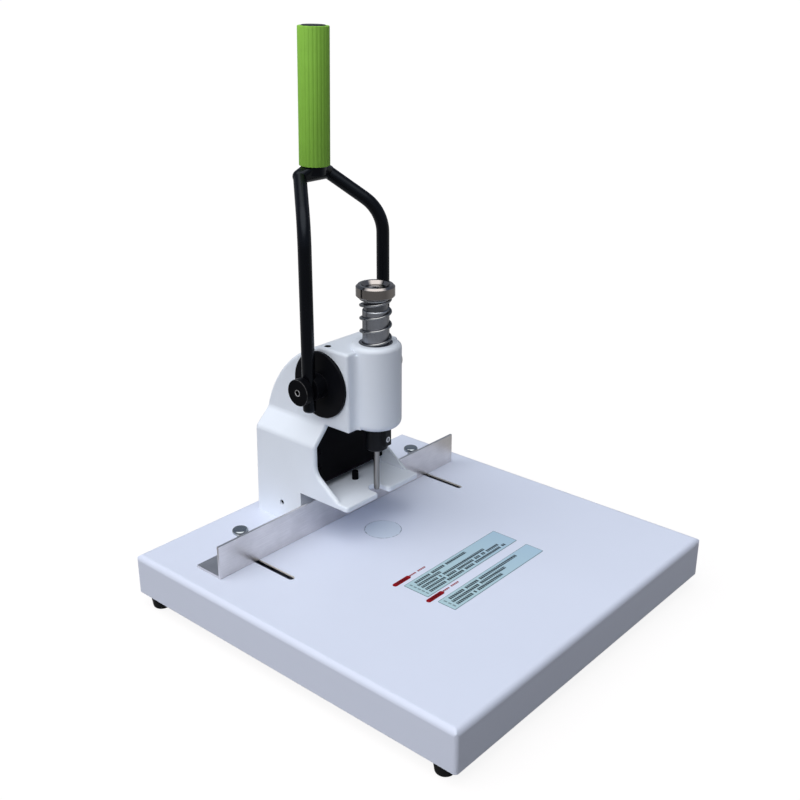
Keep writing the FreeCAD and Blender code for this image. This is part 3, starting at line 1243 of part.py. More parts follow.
def hub_left():
    """Round hub disc with a boss whose saddle holds the fork's arm."""
    y, z = PIVOT_Y, above(PIVOT_HEIGHT)
    disc = rod_x(HUB_DISC_RADIUS, -HUB_FACE_X, -BEARING_END_X, y, z)
    disc = rounded(disc, HUB_DISC_ROUNDING, lambda e, m: near(m.x, -HUB_FACE_X) and not runs_along(e, 0))
    boss = rod_x(HUB_BOSS_RADIUS, -ARM_X, -HUB_FACE_X, y, z)
    reach = HUB_BOSS_RADIUS + OVERCUT
    saddle = rod_z(ARM_RADIUS, z - reach, z + reach, -ARM_X, y)
    bore = rod_x(SHAFT_RADIUS, -SHAFT_END_X, -BEARING_END_X + OVERCUT, y, z).cut(shaft_flats())
    bolt_room = rod_x(PIVOT_BOLT_RADIUS + PIVOT_BOLT_CLEARANCE, -ARM_X - OVERCUT, -BEARING_END_X, y, z)
    return disc.fuse(boss).cut([saddle, bore, bolt_room])


def pivot_bolt_left():
    """Large round-headed bolt through the arm into the shaft's end."""
    y, z = PIVOT_Y, above(PIVOT_HEIGHT)
    seat = -(ARM_X + ARM_RADIUS)
    face = seat - PIVOT_BOLT_HEAD_THICKNESS
    head = rod_x(PIVOT_BOLT_HEAD_RADIUS, face, seat, y, z)
    head = rounded(head, PIVOT_BOLT_ROUNDING, lambda e, m: not runs_along(e, 0))
    shank = rod_x(PIVOT_BOLT_RADIUS, seat, seat + PIVOT_BOLT_LENGTH, y, z)
    socket = hexagon_hole(PIVOT_BOLT_HEX, PIVOT_BOLT_HEX_DEPTH, vec(face, y, z), vec(1, 0, 0))
    return head.fuse(shank).cut(socket)


# ---- Fence ---------------------------------------------------------------
def fence_angle():
    """Aluminium angle; its lower leg is cut away where the column stands."""
    half = FENCE_LENGTH / 2.0
    low = above(FENCE_BOTTOM_HEIGHT)
    back = FENCE_FRONT_Y + FENCE_LEG
    wall = box(-half, half, FENCE_FRONT_Y, FENCE_FRONT_Y + FENCE_SHEET, low, low + FENCE_LEG)
    leg = box(-half, half, FENCE_FRONT_Y, back, low, low + FENCE_SHEET)
    angle = wall.fuse(leg).removeSplitter()
    inner_y = FENCE_FRONT_Y + FENCE_SHEET
    angle = rounded(angle, FENCE_INNER_RADIUS,
                    lambda e, m: runs_along(e, 0) and near(m.y, inner_y) and near(m.z, low + FENCE_SHEET))
    notch = COLUMN_HALF_WIDTH + FENCE_NOTCH_CLEARANCE
    over = low + FENCE_SHEET + FENCE_INNER_RADIUS + OVERCUT
    cuts = [box(-notch, notch, FENCE_FRONT_Y + FENCE_SHEET, back + OVERCUT, low - OVERCUT, over)]
    for x in (-THUMB_X, THUMB_X):
        cuts.append(rod_z(THUMB_STUD_RADIUS + THUMB_STUD_CLEARANCE, low - OVERCUT, over, x, THUMB_Y))
    return angle.cut(cuts)


def fence_washers():
    """Washers under the thumb screws."""
    low = above(FENCE_BOTTOM_HEIGHT + FENCE_SHEET)
    washer = rod_z(WASHER_RADIUS, low, low + WASHER_THICKNESS, -THUMB_X, THUMB_Y)
    hole = rod_z(THUMB_STUD_RADIUS + THUMB_STUD_CLEARANCE, low - OVERCUT, low + WASHER_THICKNESS + OVERCUT,
                 -THUMB_X, THUMB_Y)
    washer = washer.cut(hole)
    return both_sides(washer)


def clamp_nut_top():
    """Underside of the table sheet, less the sliding gap."""
    return TABLE_Z - TRAY_SHEET - FENCE_GAP


def thumb_screw_left():
    """Round thumb screw with a narrow neck and a stud down into its clamp nut."""
    seat = above(FENCE_BOTTOM_HEIGHT + FENCE_SHEET) + WASHER_THICKNESS + RUNNING_CLEARANCE
    top = above(THUMB_TOP_HEIGHT)
    under = top - THUMB_HEAD_THICKNESS
    bottom = clamp_nut_top() - CLAMP_NUT_THICKNESS - THUMB_STUD_END
    return turned(-THUMB_X, THUMB_Y, [
        (0.0, bottom),
        (THUMB_STUD_RADIUS, bottom),
        (THUMB_STUD_RADIUS, seat),
        (THUMB_NECK_RADIUS, seat),
        (THUMB_NECK_RADIUS, under - THUMB_CHAMFER),
        (THUMB_HEAD_RADIUS - THUMB_CHAMFER, under),
        (THUMB_HEAD_RADIUS, under + THUMB_CHAMFER),
        (THUMB_HEAD_RADIUS, top - THUMB_CHAMFER),
        (THUMB_HEAD_RADIUS - THUMB_CHAMFER, top),
        (0.0, top),
    ])


def clamp_nut_left():
    """Square nut under the table that the thumb screw pulls up."""
    top = clamp_nut_top()
    half = CLAMP_NUT_SIZE / 2.0
    bottom = top - CLAMP_NUT_THICKNESS
    nut = box(-THUMB_X - half, -THUMB_X + half, THUMB_Y - half, THUMB_Y + half, bottom, top)
    bore = THUMB_STUD_RADIUS + RUNNING_CLEARANCE
    return nut.cut(rod_z(bore, bottom - OVERCUT, top + OVERCUT, -THUMB_X, THUMB_Y))


# ---- Labels --------------------------------------------------------------
def label(back_y, depth):
    """Thin bare label plate on the table."""
    plate = box(LABEL_LEFT_X, LABEL_RIGHT_X, back_y - depth, back_y, TABLE_Z, TABLE_Z + LABEL_THICKNESS)
    return rounded(plate, LABEL_CORNER_RADIUS, lambda e, m: runs_along(e, 2))


def label_tags():
    """Two short red tags with round ends, one above each label."""
    tags = []
    for back_y in (UPPER_LABEL_BACK_Y, LOWER_LABEL_BACK_Y):
        y = back_y + TAG_LIFT
        half = TAG_WIDTH / 2.0
        top = TABLE_Z + LABEL_THICKNESS
        tag = box(TAG_LEFT_X, TAG_LEFT_X + TAG_LENGTH, y - half, y + half, TABLE_Z, top)
        tags.append(rounded(tag, TAG_CORNER_RADIUS, lambda e, m: runs_along(e, 2)))
    return Part.makeCompound(tags)


def nodes():
    """Every sub-part by the name of its file."""
    pieces = {
        "base_tray": base_tray(),
        "bottom_cover": bottom_cover(),
        "corner_brackets": corner_brackets(),
        "foot_screws": foot_screws(),
        "anvil_plate": anvil_plate(),
        "cutting_pad": cutting_pad(),
        "body_bolts": body_bolts(),
        "body_casting": body_casting(),
        "throat_liner": throat_liner(),
        "liner_screws": liner_screws(),
        "liner_post": liner_post(),
        "top_grub_screws": top_grub_screws(),
        "side_grub_screws": side_grub_screws(),
        "upper_guide_bush": upper_guide_bush(),
        "lower_guide_bush": lower_guide_bush(),
        "plunger": plunger(),
        "return_spring": return_spring(),
        "spring_cap": spring_cap(),
        "cap_screw": cap_screw(),
        "punch_chuck": punch_chuck(),
        "punch": punch(),
        "chuck_screw": chuck_screw(),
        "lever_fork": lever_fork(),
        "grip_sleeve": grip_sleeve(),
        "grip_plug": grip_plug(),
        "pivot_shaft": pivot_shaft(),
        "drive_pinion": drive_pinion(),
        "pinion_key": pinion_key(),
        "fence_angle": fence_angle(),
        "fence_washers": fence_washers(),
        "label_upper": label(UPPER_LABEL_BACK_Y, UPPER_LABEL_DEPTH),
        "label_lower": label(LOWER_LABEL_BACK_Y, LOWER_LABEL_DEPTH),
        "label_tags": label_tags(),
    }
    for name, (x, y) in foot_places().items():
        pieces["foot_" + name] = foot(x, y)
    handed = {
        "pivot_bush": pivot_bush_left(),
        "hub": hub_left(),
        "pivot_bolt": pivot_bolt_left(),
        "thumb_screw": thumb_screw_left(),
        "clamp_nut": clamp_nut_left(),
    }
    for name, shape in handed.items():
        pieces[name + "_left"] = shape
        pieces[name + "_right"] = mirrored(shape)
    return pieces


os.makedirs("parts", exist_ok=True)
for node, shape in nodes().items():
    shape.exportStep("parts/" + node + ".step")
    print(node, "valid" if shape.isValid() else "NOT VALID", len(shape.Solids), round(shape.Volume, 1))
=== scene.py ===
import logging
import math
from collections.abc import Callable
from dataclasses import dataclass
from enum import Enum
from typing import ClassVar

import bpy
from mathutils import Matrix, Vector


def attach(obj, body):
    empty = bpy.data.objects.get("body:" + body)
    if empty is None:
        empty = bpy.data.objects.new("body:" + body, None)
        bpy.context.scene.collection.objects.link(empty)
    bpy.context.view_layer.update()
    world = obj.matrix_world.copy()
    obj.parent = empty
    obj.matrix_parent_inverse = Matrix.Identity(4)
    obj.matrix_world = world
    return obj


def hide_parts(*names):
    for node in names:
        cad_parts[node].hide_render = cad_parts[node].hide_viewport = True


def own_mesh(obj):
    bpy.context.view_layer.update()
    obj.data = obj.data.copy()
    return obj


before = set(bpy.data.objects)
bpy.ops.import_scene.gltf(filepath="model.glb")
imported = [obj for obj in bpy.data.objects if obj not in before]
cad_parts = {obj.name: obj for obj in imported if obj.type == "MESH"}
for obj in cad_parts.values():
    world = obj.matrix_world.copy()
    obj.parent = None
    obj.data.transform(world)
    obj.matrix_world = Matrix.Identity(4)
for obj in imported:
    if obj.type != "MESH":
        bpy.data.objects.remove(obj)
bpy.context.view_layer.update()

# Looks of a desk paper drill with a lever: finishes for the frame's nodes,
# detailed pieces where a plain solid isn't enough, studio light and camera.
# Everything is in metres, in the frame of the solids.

LOG = logging.getLogger("paper_drill")

TABLE_Z = 0.055
SPINDLE_X, SPINDLE_Y = 0.0, 0.062
PIVOT_Y, PIVOT_Z = 0.1008, 0.214
MM = 0.001
FULL_TURN = 2.0 * math.pi
SMOOTH_ANGLE = math.radians(40.0)
WHITE = (1.0, 1.0, 1.0)

Color = tuple[float, float, float]
Point = tuple[float, float, float]
Span = tuple[float, float]


class Axis(Enum):
    """Direction that a grain or a brush stroke follows."""

    X = 0
    Y = 1
    Z = 2


class Body(Enum):
    """Bodies of the frame that new pieces ride on."""

    ROOT = "root"
    LEVER = "lever"
    THUMB_LEFT = "thumb_screw_left"
    THUMB_RIGHT = "thumb_screw_right"


# ---- Shader expressions ----
class Socket:
    """One output of a node; arithmetic on it adds Math nodes."""

    def __init__(self, graph: "Graph", link: bpy.types.NodeSocket) -> None:
        """Keep the socket and the graph that it belongs to."""
        self.graph = graph
        self.link = link

    def math(self, operation: str, *values: "Value") -> "Socket":
        """Add one Math node.

        Args:
            operation: Name of the Math node's operation.
            values: What goes into its sockets, in order.

        Returns:
            The result.
        """
        return self.graph.node("ShaderNodeMath", {"operation": operation}, dict(enumerate(values)))

    def __add__(self, other: "Value") -> "Socket":
        """Sum."""
        return self.math("ADD", self, other)

    def __mul__(self, other: "Value") -> "Socket":
        """Product."""
        return self.math("MULTIPLY", self, other)

    def __sub__(self, other: "Value") -> "Socket":
        """Difference."""
        return self.math("SUBTRACT", self, other)

    def __rsub__(self, other: "Value") -> "Socket":
        """Difference with this as the second value."""
        return self.math("SUBTRACT", other, self)

    def __truediv__(self, other: "Value") -> "Socket":
        """Quotient."""
        return self.math("DIVIDE", self, other)

    def __pow__(self, other: "Value") -> "Socket":
        """Power."""
        return self.math("POWER", self, other)

    def __gt__(self, other: "Value") -> "Socket":
        """One where this is greater, else nought."""
        return self.math("GREATER_THAN", self, other)

    def __lt__(self, other: "Value") -> "Socket":
        """One where this is less, else nought."""
        return self.math("LESS_THAN", self, other)

    def fraction(self) -> "Socket":
        """Part after the decimal point."""
        return self.math("FRACT", self)

    def whole(self) -> "Socket":
        """Next whole number below."""
        return self.math("FLOOR", self)

    def size(self) -> "Socket":
        """Value without its sign."""
        return self.math("ABSOLUTE", self)

    def least(self, other: "Value") -> "Socket":
        """The smaller of two values."""
        return self.math("MINIMUM", self, other)

    def most(self, other: "Value") -> "Socket":
        """The greater of two values."""
        return self.math("MAXIMUM", self, other)

    def reach(self, other: "Socket") -> "Socket":
        """Distance from an axis, out of the two distances across it."""
        return (self * self + other * other) ** 0.5

    def between(self, low: float, high: float) -> "Socket":
        """Straight ramp from nought at low to one at high, held level outside."""
        return self.graph.node("ShaderNodeMapRange", {}, {"Value": self, "From Min": low, "From Max": high})


Value = Socket | float | int | tuple


class Graph:
    """Nodes of one material or of the world."""

    EDGE_SAMPLES = 4
    WORN_TURN: Span = (0.03, 0.25)

    def __init__(self, owner: bpy.types.ID) -> None:
        """Empty the owner's node tree.

        Args:
            owner: The material or world.
        """
        owner.use_nodes = True
        self.owner = owner
        self.tree = owner.node_tree
        self.tree.nodes.clear()

    def node(self, kind: str, settings: dict | None = None, inputs: dict | None = None,
             output: int | str = 0) -> Socket:
        """Add one node.

        Args:
            kind: The node's type.
            settings: Its properties, which are set first.
            inputs: Values or links of its sockets.
            output: Which output is wanted.

        Returns:
            That output.
        """
        made = self.tree.nodes.new(kind)
        for key, value in (settings or {}).items():
            setattr(made, key, value)
        for key, value in (inputs or {}).items():
            if isinstance(value, Socket):
                self.tree.links.new(value.link, made.inputs[key])
            elif isinstance(value, tuple) and made.inputs[key].type == "RGBA":
                made.inputs[key].default_value = (*value, 1.0)
            else:
                made.inputs[key].default_value = value
        return Socket(self, made.outputs[output])

    def vector(self, operation: str, first: Value, second: Value, output: int | str = 0) -> Socket:
        """Add one Vector Math node."""
        return self.node("ShaderNodeVectorMath", {"operation": operation}, {0: first, 1: second}, output)

    def worn_edges(self, radius: float) -> Socket:
        """One along sharp edges, fading to nought away from them.

        Args:
            radius: How far from the edge it reaches.

        Returns:
            The mask.
        """
        soft = self.node("ShaderNodeBevel", {"samples": self.EDGE_SAMPLES}, {"Radius": radius})
        flat = self.node("ShaderNodeNewGeometry", output="Normal")
        return (1.0 - self.vector("DOT_PRODUCT", soft, flat, "Value")).between(*self.WORN_TURN)

    def place(self, centre: Point = (0.0, 0.0, 0.0), scale: Point = (1.0, 1.0, 1.0)) -> Socket:
        """Object coordinates counted from a centre and stretched.

        Args:
            centre: Point that becomes the origin.
            scale: Factor along each axis.

        Returns:
            The vector.
        """
        point = self.node("ShaderNodeTexCoord", output="Object")
        return self.vector("MULTIPLY", self.vector("SUBTRACT", point, centre), scale)

    def noise(self, vector: Socket, scale: float, detail: float = 2.0, rough: float = 0.5) -> Socket:
        """Noise from 0 to 1."""
        return self.node("ShaderNodeTexNoise", {},
                         {"Vector": vector, "Scale": scale, "Detail": detail, "Roughness": rough})

    def several(self, socket: Socket, outputs: tuple[int | str, ...]) -> tuple[Socket, ...]:
        """More outputs of the node that a socket belongs to."""
        return tuple(Socket(self, socket.link.node.outputs[output]) for output in outputs)

    def parts(self, vector: Socket) -> tuple[Socket, ...]:
        """The three numbers of a vector."""
        return self.several(self.node("ShaderNodeSeparateXYZ", inputs={0: vector}), (0, 1, 2))

    def blend(self, factor: Value, first: Value, second: Value) -> Socket:
        """Mix of two colours."""
        return self.node("ShaderNodeMix", {"data_type": "RGBA"}, {0: factor, 6: first, 7: second}, 2)

    def relief(self, height: Socket, distance: float, edge: float) -> Socket:
        """Normal of a surface with relief.

        Args:
            height: Relief from 0 to 1.
            distance: Depth that 1 stands for, in metres.
            edge: Radius by which sharp edges are softened, or 0.

        Returns:
            The normal.
        """
        inputs: dict = {"Height": height, "Distance": distance}
        if edge:
            inputs["Normal"] = self.node("ShaderNodeBevel", {"samples": self.EDGE_SAMPLES}, {"Radius": edge})
        return self.node("ShaderNodeBump", {}, inputs)

    def close(self, shader: Socket, kind: str = "ShaderNodeOutputMaterial") -> bpy.types.ID:
        """Send a shader to the output.

        Args:
            shader: The finished shader.
            kind: Type of the output node.

        Returns:
            The material or world.
        """
        output = self.tree.nodes.new(kind)
        self.tree.links.new(shader.link, output.inputs[0])
        return self.owner


# ---- Finishes ----
@dataclass(frozen=True)
class Finish:
    """A finish with fine relief, slight mottling, softened edges, a little wear and, where asked for, painted shade on
    faces that turn away from the view.

    The relief is noise; a subclass gives another pattern or paints over the ground.
    """

    name: str
    color: Color
    roughness: float
    metallic: float = 0.0
    specular: float = 0.5
    gloss_tint: Color = WHITE
    coat: float = 0.0
    coat_roughness: float = 0.1
    mottle: float = 0.04
    mottle_scale: float = 18.0
    mottle_span: Span = (0.3, 0.7)
    rough_spread: float = 0.06
    rough_fineness: float = 5.0
    grain_scale: float = 900.0
    grain_depth: float = 0.00002
    edge: float = 0.0004
    wear: float = 0.0
    wear_color: Color = (0.30, 0.30, 0.31)
    patch_scale: float = 260.0
    patch_detail: float = 3.0
    patch_span: Span = (0.25, 0.6)
    # Share of the colour kept where faces turn away from the view: painted shade, none at 1.
    painted_graze_shade: float = 1.0
    painted_graze_span: Span = (0.08, 0.60)

    def darker(self, share: float) -> Color:
        """The finish's colour with only a share of its brightness."""
        return tuple(part * share for part in self.color)

    def patches(self, graph: Graph) -> Socket:
        """Broken patches from 0 to 1, which break up wear, print, the pad's rim ring and painted highlights."""
        return graph.noise(graph.place(), self.patch_scale, self.patch_detail).between(*self.patch_span)

    def pattern(self, graph: Graph) -> Socket:
        """Relief of the finish, from 0 to 1."""
        return graph.noise(graph.place(), self.grain_scale, detail=3.0)

    def ground(self, graph: Graph, pattern: Socket) -> Socket:
        """Colour of the bare finish.

        Args:
            graph: Graph of the material.
            pattern: The relief.

        Returns:
            The colour.
        """
        cloud = graph.noise(graph.place(), self.mottle_scale, detail=4.0, rough=0.6)
        return graph.blend(cloud.between(*self.mottle_span), self.darker(1.0 - self.mottle), self.color)

    def paint(self, graph: Graph, ground: Socket) -> Socket:
        """What lies over the ground: nothing here."""
        return ground

    def tint(self, graph: Graph, pattern: Socket) -> Socket:
        """Colour over the surface, with painted shade on faces that turn away from the view and the wear along its
        edges.

        Args:
            graph: Graph of the material.
            pattern: The relief.

        Returns:
            The colour.
        """
        color = self.paint(graph, self.ground(graph, pattern))
        # Painted shade: the colour darkens where the surface turns away from the view, standing in for darker
        # reflections along the sides.
        if self.painted_graze_shade < 1.0:
            turned = graph.node("ShaderNodeLayerWeight", output="Facing")
            color = graph.blend(turned.between(*self.painted_graze_span), color, self.darker(self.painted_graze_shade))
        if not self.wear:
            return color
        patchy = self.patches(graph)
        return graph.blend(graph.worn_edges(self.edge) * patchy * self.wear, color, self.wear_color)

    def gloss(self, graph: Graph, pattern: Socket) -> Socket:
        """Roughness over the surface.

        Args:
            graph: Graph of the material.
            pattern: The relief.

        Returns:
            The roughness.
        """
        cloud = graph.noise(graph.place(), self.mottle_scale * self.rough_fineness, detail=3.0)
        return (cloud - 0.5) * self.rough_spread + self.roughness

    def material(self) -> bpy.types.Material:
        """Make the material.

        Returns:
            The material, with one shader behind its output.
        """
        graph = Graph(bpy.data.materials.new(self.name))
        pattern = self.pattern(graph)
        shader = graph.node("ShaderNodeBsdfPrincipled", {}, {
            "Base Color": self.tint(graph, pattern),
            "Roughness": self.gloss(graph, pattern),
            "Metallic": self.metallic,
            "Specular IOR Level": self.specular,
            "Specular Tint": self.gloss_tint,
            "Coat Weight": self.coat,
            "Coat Roughness": self.coat_roughness,
            "Normal": graph.relief(pattern, self.grain_depth, self.edge),
        })
        return graph.close(shader)


@dataclass(frozen=True)
class StreakedMetal(Finish):
    """Ground or brushed metal with fine lines along one axis."""

    metallic: float = 1.0
    axis: Axis = Axis.X
    line_scale: float = 2600.0
    line_length: float = 0.02
    line_contrast: float = 0.25
    line_span: Span = (0.3, 0.7)
    cloud_span: Span = (0.35, 0.65)
    cloud_share: float = 0.5

    def pattern(self, graph: Graph) -> Socket:
        """Fine lines, stretched along the axis.

        Args:
            graph: Graph of the material.

        Returns:
            The relief, from 0 to 1.
        """
        scale = [1.0, 1.0, 1.0]
        scale[self.axis.value] = self.line_length
        return graph.noise(graph.place(scale=tuple(scale)), self.line_scale, detail=4.0, rough=0.65)

    def ground(self, graph: Graph, pattern: Socket) -> Socket:
        """Colour that follows the lines, a little clouded.

        Args:
            graph: Graph of the material.
            pattern: The lines.

        Returns:
            The colour.
        """
        lines = graph.blend(pattern.between(*self.line_span), self.darker(1.0 - self.line_contrast), self.color)
        cloud = graph.noise(graph.place(), self.mottle_scale, detail=3.0, rough=0.55).between(*self.cloud_span)
        return graph.blend((1.0 - cloud) * self.cloud_share, lines, self.darker(1.0 - self.mottle))

    def gloss(self, graph: Graph, pattern: Socket) -> Socket:
        """Roughness that follows the lines."""
        return (pattern - 0.5) * self.rough_spread * 2.0 + self.roughness


@dataclass(frozen=True)
class TurnedMetal(Finish):
    """Metal turned on a lathe, with fine rings about an upright axis."""

    metallic: float = 1.0
    centre: Point = (SPINDLE_X, SPINDLE_Y, 0.0)
    ring_pitch: float = 0.00035
    ring_share: float = 0.6
    grit_scale: float = 700.0

    def pattern(self, graph: Graph) -> Socket:
        """Rings on flat faces and lines round the sides.

        Args:
            graph: Graph of the material.

        Returns:
            The relief, from 0 to 1.
        """
        x, y, z = graph.parts(graph.place(self.centre))
        turns = (x.reach(y) + z) / self.ring_pitch
        rings = (turns.fraction() - 0.5).size() * 2.0
        return rings * self.ring_share + graph.noise(graph.place(), self.grit_scale) * (1.0 - self.ring_share)


@dataclass(frozen=True)
class NeckedSteel(StreakedMetal):
    """Ground steel of the plunger, with a painted highlight band at its shoulder and darker on the neck above it."""

    shoulder_z: float = 0.2905
    shoulder_band: float = 0.0016
    band_highlight_share: float = 0.8
    neck_lead: float = 0.0002
    neck_share: float = 0.40
    painted_highlight: Color = (0.85, 0.87, 0.90)

    def paint(self, graph: Graph, ground: Socket) -> Socket:
        """A painted highlight band at the shoulder and a darker neck above it.

        Args:
            graph: Graph of the material.
            ground: Colour that lies below.

        Returns:
            The colour.
        """
        _, _, z = graph.parts(graph.place())
        necked = graph.blend(z > self.shoulder_z - self.neck_lead, ground, self.darker(self.neck_share))
        off = (z - self.shoulder_z + self.shoulder_band / 2.0).size()
        # Painted highlight: a bright band across the shoulder, over the darker neck.
        return graph.blend((off < self.shoulder_band / 2.0) * self.band_highlight_share, necked, self.painted_highlight)


@dataclass(frozen=True)
class TablePaint(Finish):
    """White powder coat, with bare cut steel on the walls of the two fence slots."""

    slot_x: float = 0.1285
    slot_half: float = 0.0040
    slot_front: float = 0.0510
    slot_back: float = 0.1430
    skin: float = 0.0001
    cut_color: Color = (0.74, 0.71, 0.67)

    def paint(self, graph: Graph, ground: Socket) -> Socket:
        """Cut steel below the paint film inside the slots.

        Args:
            graph: Graph of the material.
            ground: Colour that lies below.

        Returns:
            The colour.
        """
        x, y, z = graph.parts(graph.place())
        beside = (x.size() - self.slot_x).size() < self.slot_half
        along = (y > self.slot_front) * (y < self.slot_back)
        return graph.blend(beside * along * (z < TABLE_Z - self.skin), ground, self.cut_color)


@dataclass(frozen=True)
class CastingPaint(Finish):
    """White satin paint, with painted shade on the walls of the two threaded holes in the top of the head."""

    hole_x: float = 0.0305
    hole_y: float = 0.0970
    hole_radius: float = 0.0034
    hole_floor: float = 0.2200
    hole_shade: Color = (0.0025, 0.0028, 0.0040)

    def paint(self, graph: Graph, ground: Socket) -> Socket:
        """Painted shade on the walls inside the two holes.

        Args:
            graph: Graph of the material.
            ground: Colour that lies below.

        Returns:
            The colour.
        """
        x, y, z = graph.parts(graph.place())
        away = (x.size() - self.hole_x).reach(y - self.hole_y)
        # Painted shade: near black inside each hole, above the hole's floor.
        return graph.blend((away < self.hole_radius) * (z > self.hole_floor), ground, self.hole_shade)


@dataclass(frozen=True)
class RimmedDisc(Finish):
    """Plastic of the cutting pad, with a thin broken dark ring along its rim."""

    centre: Point = (0.0, 0.0535, 0.0)
    radius: float = 0.0190
    rim: float = 0.0006
    rim_color: Color = (0.16, 0.19, 0.25)
    patch_scale: float = 220.0
    patch_span: Span = (0.4, 0.65)

    def paint(self, graph: Graph, ground: Socket) -> Socket:
        """A thin broken dark ring along the rim.

        Args:
            graph: Graph of the material.
            ground: Colour that lies below.

        Returns:
            The colour.
        """
        x, y, _ = graph.parts(graph.place(self.centre))
        at_rim = x.reach(y) > self.radius - self.rim
        return graph.blend(at_rim * self.patches(graph), ground, self.rim_color)


@dataclass(frozen=True)
class BoltSteel(Finish):
    """Blacked steel of the pivot bolts, with painted highlights round the socket and along the head's rim."""

    socket_radius: float = 0.0026
    socket_rim: float = 0.0008
    head_radius: float = 0.0135
    head_rim: float = 0.0007
    face_x: float = 0.0694
    face_lead: float = 0.0006
    painted_highlight: Color = (0.62, 0.62, 0.62)
    rim_highlight_share: float = 0.26
    least_highlight: float = 0.4
    patch_scale: float = 300.0
    patch_span: Span = (0.3, 0.6)

    def paint(self, graph: Graph, ground: Socket) -> Socket:
        """Painted highlights: bright rings about the pivot's axis.

        Args:
            graph: Graph of the material.
            ground: Colour that lies below.

        Returns:
            The colour.
        """
        x, y, z = graph.parts(graph.place((0.0, PIVOT_Y, PIVOT_Z)))
        radius = y.reach(z)
        at_face = x.size() > self.face_x - self.face_lead
        # Painted highlights: bright rings at the socket's rim and along the head's rim, broken into patches.
        socket = (radius > self.socket_radius) * (radius < self.socket_radius + self.socket_rim) * at_face
        rim = radius.between(self.head_radius - self.head_rim, self.head_radius) * at_face * self.rim_highlight_share
        patchy = self.patches(graph)
        return graph.blend(socket * patchy.most(self.least_highlight) + rim * patchy, ground, self.painted_highlight)


@dataclass(frozen=True)
class LabelFilm(Finish):
    """Printed film: generic rows of short plain bars on a pale ground, with a thin border."""

    ink: Color = (0.012, 0.020, 0.028)
    far_color: Color = (0.40, 0.56, 0.70)
    border_color: Color = (0.10, 0.16, 0.17)
    left: float = -0.069
    right: float = 0.072
    back: float = -0.0345
    depth: float = 0.0295
    margin: float = 0.0024
    border: float = 0.0005
    border_share: float = 0.85
    fade_start: float = 0.3
    bar_share: float = 0.70
    bar_length: float = 0.0027
    bar_fill: float = 0.80
    gap_share: float = 0.09
    worn_share: float = 0.25
    mark_share: float = 0.6
    mark_start: float = 0.0042
    mark_end: float = 0.0060
    row_start: float = 0.0090
    row_ends: tuple[float, ...] = (0.62, 0.30, 0.74, 0.86, 0.90)
    patch_scale: float = 1500.0
    patch_detail: float = 1.0
    patch_span: Span = (0.25, 0.55)

    def paint(self, graph: Graph, ground: Socket) -> Socket:
        """Rows of bars, a short mark before each row, and the border.

        Args:
            graph: Graph of the material.
            ground: Colour that lies below.

        Returns:
            The colour.
        """
        x, y, _ = graph.parts(graph.place())
        along = x - self.left
        down = self.back - y
        length = self.right - self.left
        pitch = (self.depth - 2.0 * self.margin) / len(self.row_ends)
        row = (down - self.margin) / pitch
        in_row = (row.fraction() - 0.5).size() < self.bar_share / 2.0
        cell = along / self.bar_length
        in_bar = (cell.fraction() - 0.5).size() < self.bar_fill / 2.0
        spot = graph.node("ShaderNodeCombineXYZ", inputs={0: cell.whole() + 0.5, 1: row.whole() + 0.5})
        drawn = graph.node("ShaderNodeTexWhiteNoise", {"noise_dimensions": "3D"}, {"Vector": spot}) > self.gap_share
        reached: Value = 0.0
        for index, end in enumerate(self.row_ends):
            this_row = (row.whole() - index).size() < 0.5
            reached = this_row * (along < end * length) + reached
        bars = in_bar * drawn * reached * (along > self.row_start)
        mark = (along > self.mark_start) * (along < self.mark_end)
        inside = (row > 0.0) * (row < float(len(self.row_ends)))
        patchy = self.patches(graph) * self.worn_share + (1.0 - self.worn_share)
        print_mask = in_row * inside * (bars + mark * self.mark_share) * patchy
        faded = graph.blend(along.between(self.fade_start * length, length), ground, self.far_color)
        printed = graph.blend(print_mask, faded, self.ink)
        rim = along.least(length - along).least(down.least(self.depth - down))
        return graph.blend((rim < self.border) * self.border_share, printed, self.border_color)


@dataclass(frozen=True)
class TagFilm(Finish):
    """Red film with a short row of darker plain bars on each tag."""

    ink: Color = (0.035, 0.002, 0.004)
    left: float = -0.0755
    start: float = 0.0045
    end: float = 0.0190
    rows: Span = (-0.0275, -0.0685)
    half_height: float = 0.0015
    ink_share: float = 0.8
    bar_length: float = 0.0029
    bar_fill: float = 0.78

    def paint(self, graph: Graph, ground: Socket) -> Socket:
        """Bars along the middle of each tag.

        Args:
            graph: Graph of the material.
            ground: Colour that lies below.

        Returns:
            The colour.
        """
        x, y, _ = graph.parts(graph.place())
        along = x - self.left
        off = (y - self.rows[0]).size().least((y - self.rows[1]).size())
        in_bar = ((along / self.bar_length).fraction() - 0.5).size() < self.bar_fill / 2.0
        mask = in_bar * (off < self.half_height) * (along > self.start) * (along < self.end)
        return graph.blend(mask * self.ink_share, ground, self.ink)


TABLE_PAINT = TablePaint("table_paint", (0.70, 0.745, 0.885), 0.40, specular=0.35, coat=0.08, coat_roughness=0.22,
                         mottle=0.012, grain_scale=520.0, grain_depth=0.00003, edge=0.0005)
CASTING_PAINT = CastingPaint("casting_paint", (0.795, 0.845, 0.93), 0.36, specular=0.40, coat=0.15, coat_roughness=0.18,
                             mottle=0.02, grain_scale=430.0, grain_depth=0.00004, edge=0.0006)
FORK_PAINT = Finish("fork_paint", (0.0030, 0.0030, 0.0046), 0.25, specular=0.26, gloss_tint=(0.76, 0.87, 1.0),
                    mottle=0.25, grain_scale=650.0, grain_depth=0.00005, edge=0.0006)
HUB_PAINT = Finish("hub_paint", (0.0045, 0.0048, 0.0066), 0.36, specular=0.08, mottle=0.25, grain_scale=650.0,
                   grain_depth=0.00006, edge=0.0007, wear=0.5, wear_color=(0.045, 0.045, 0.05))
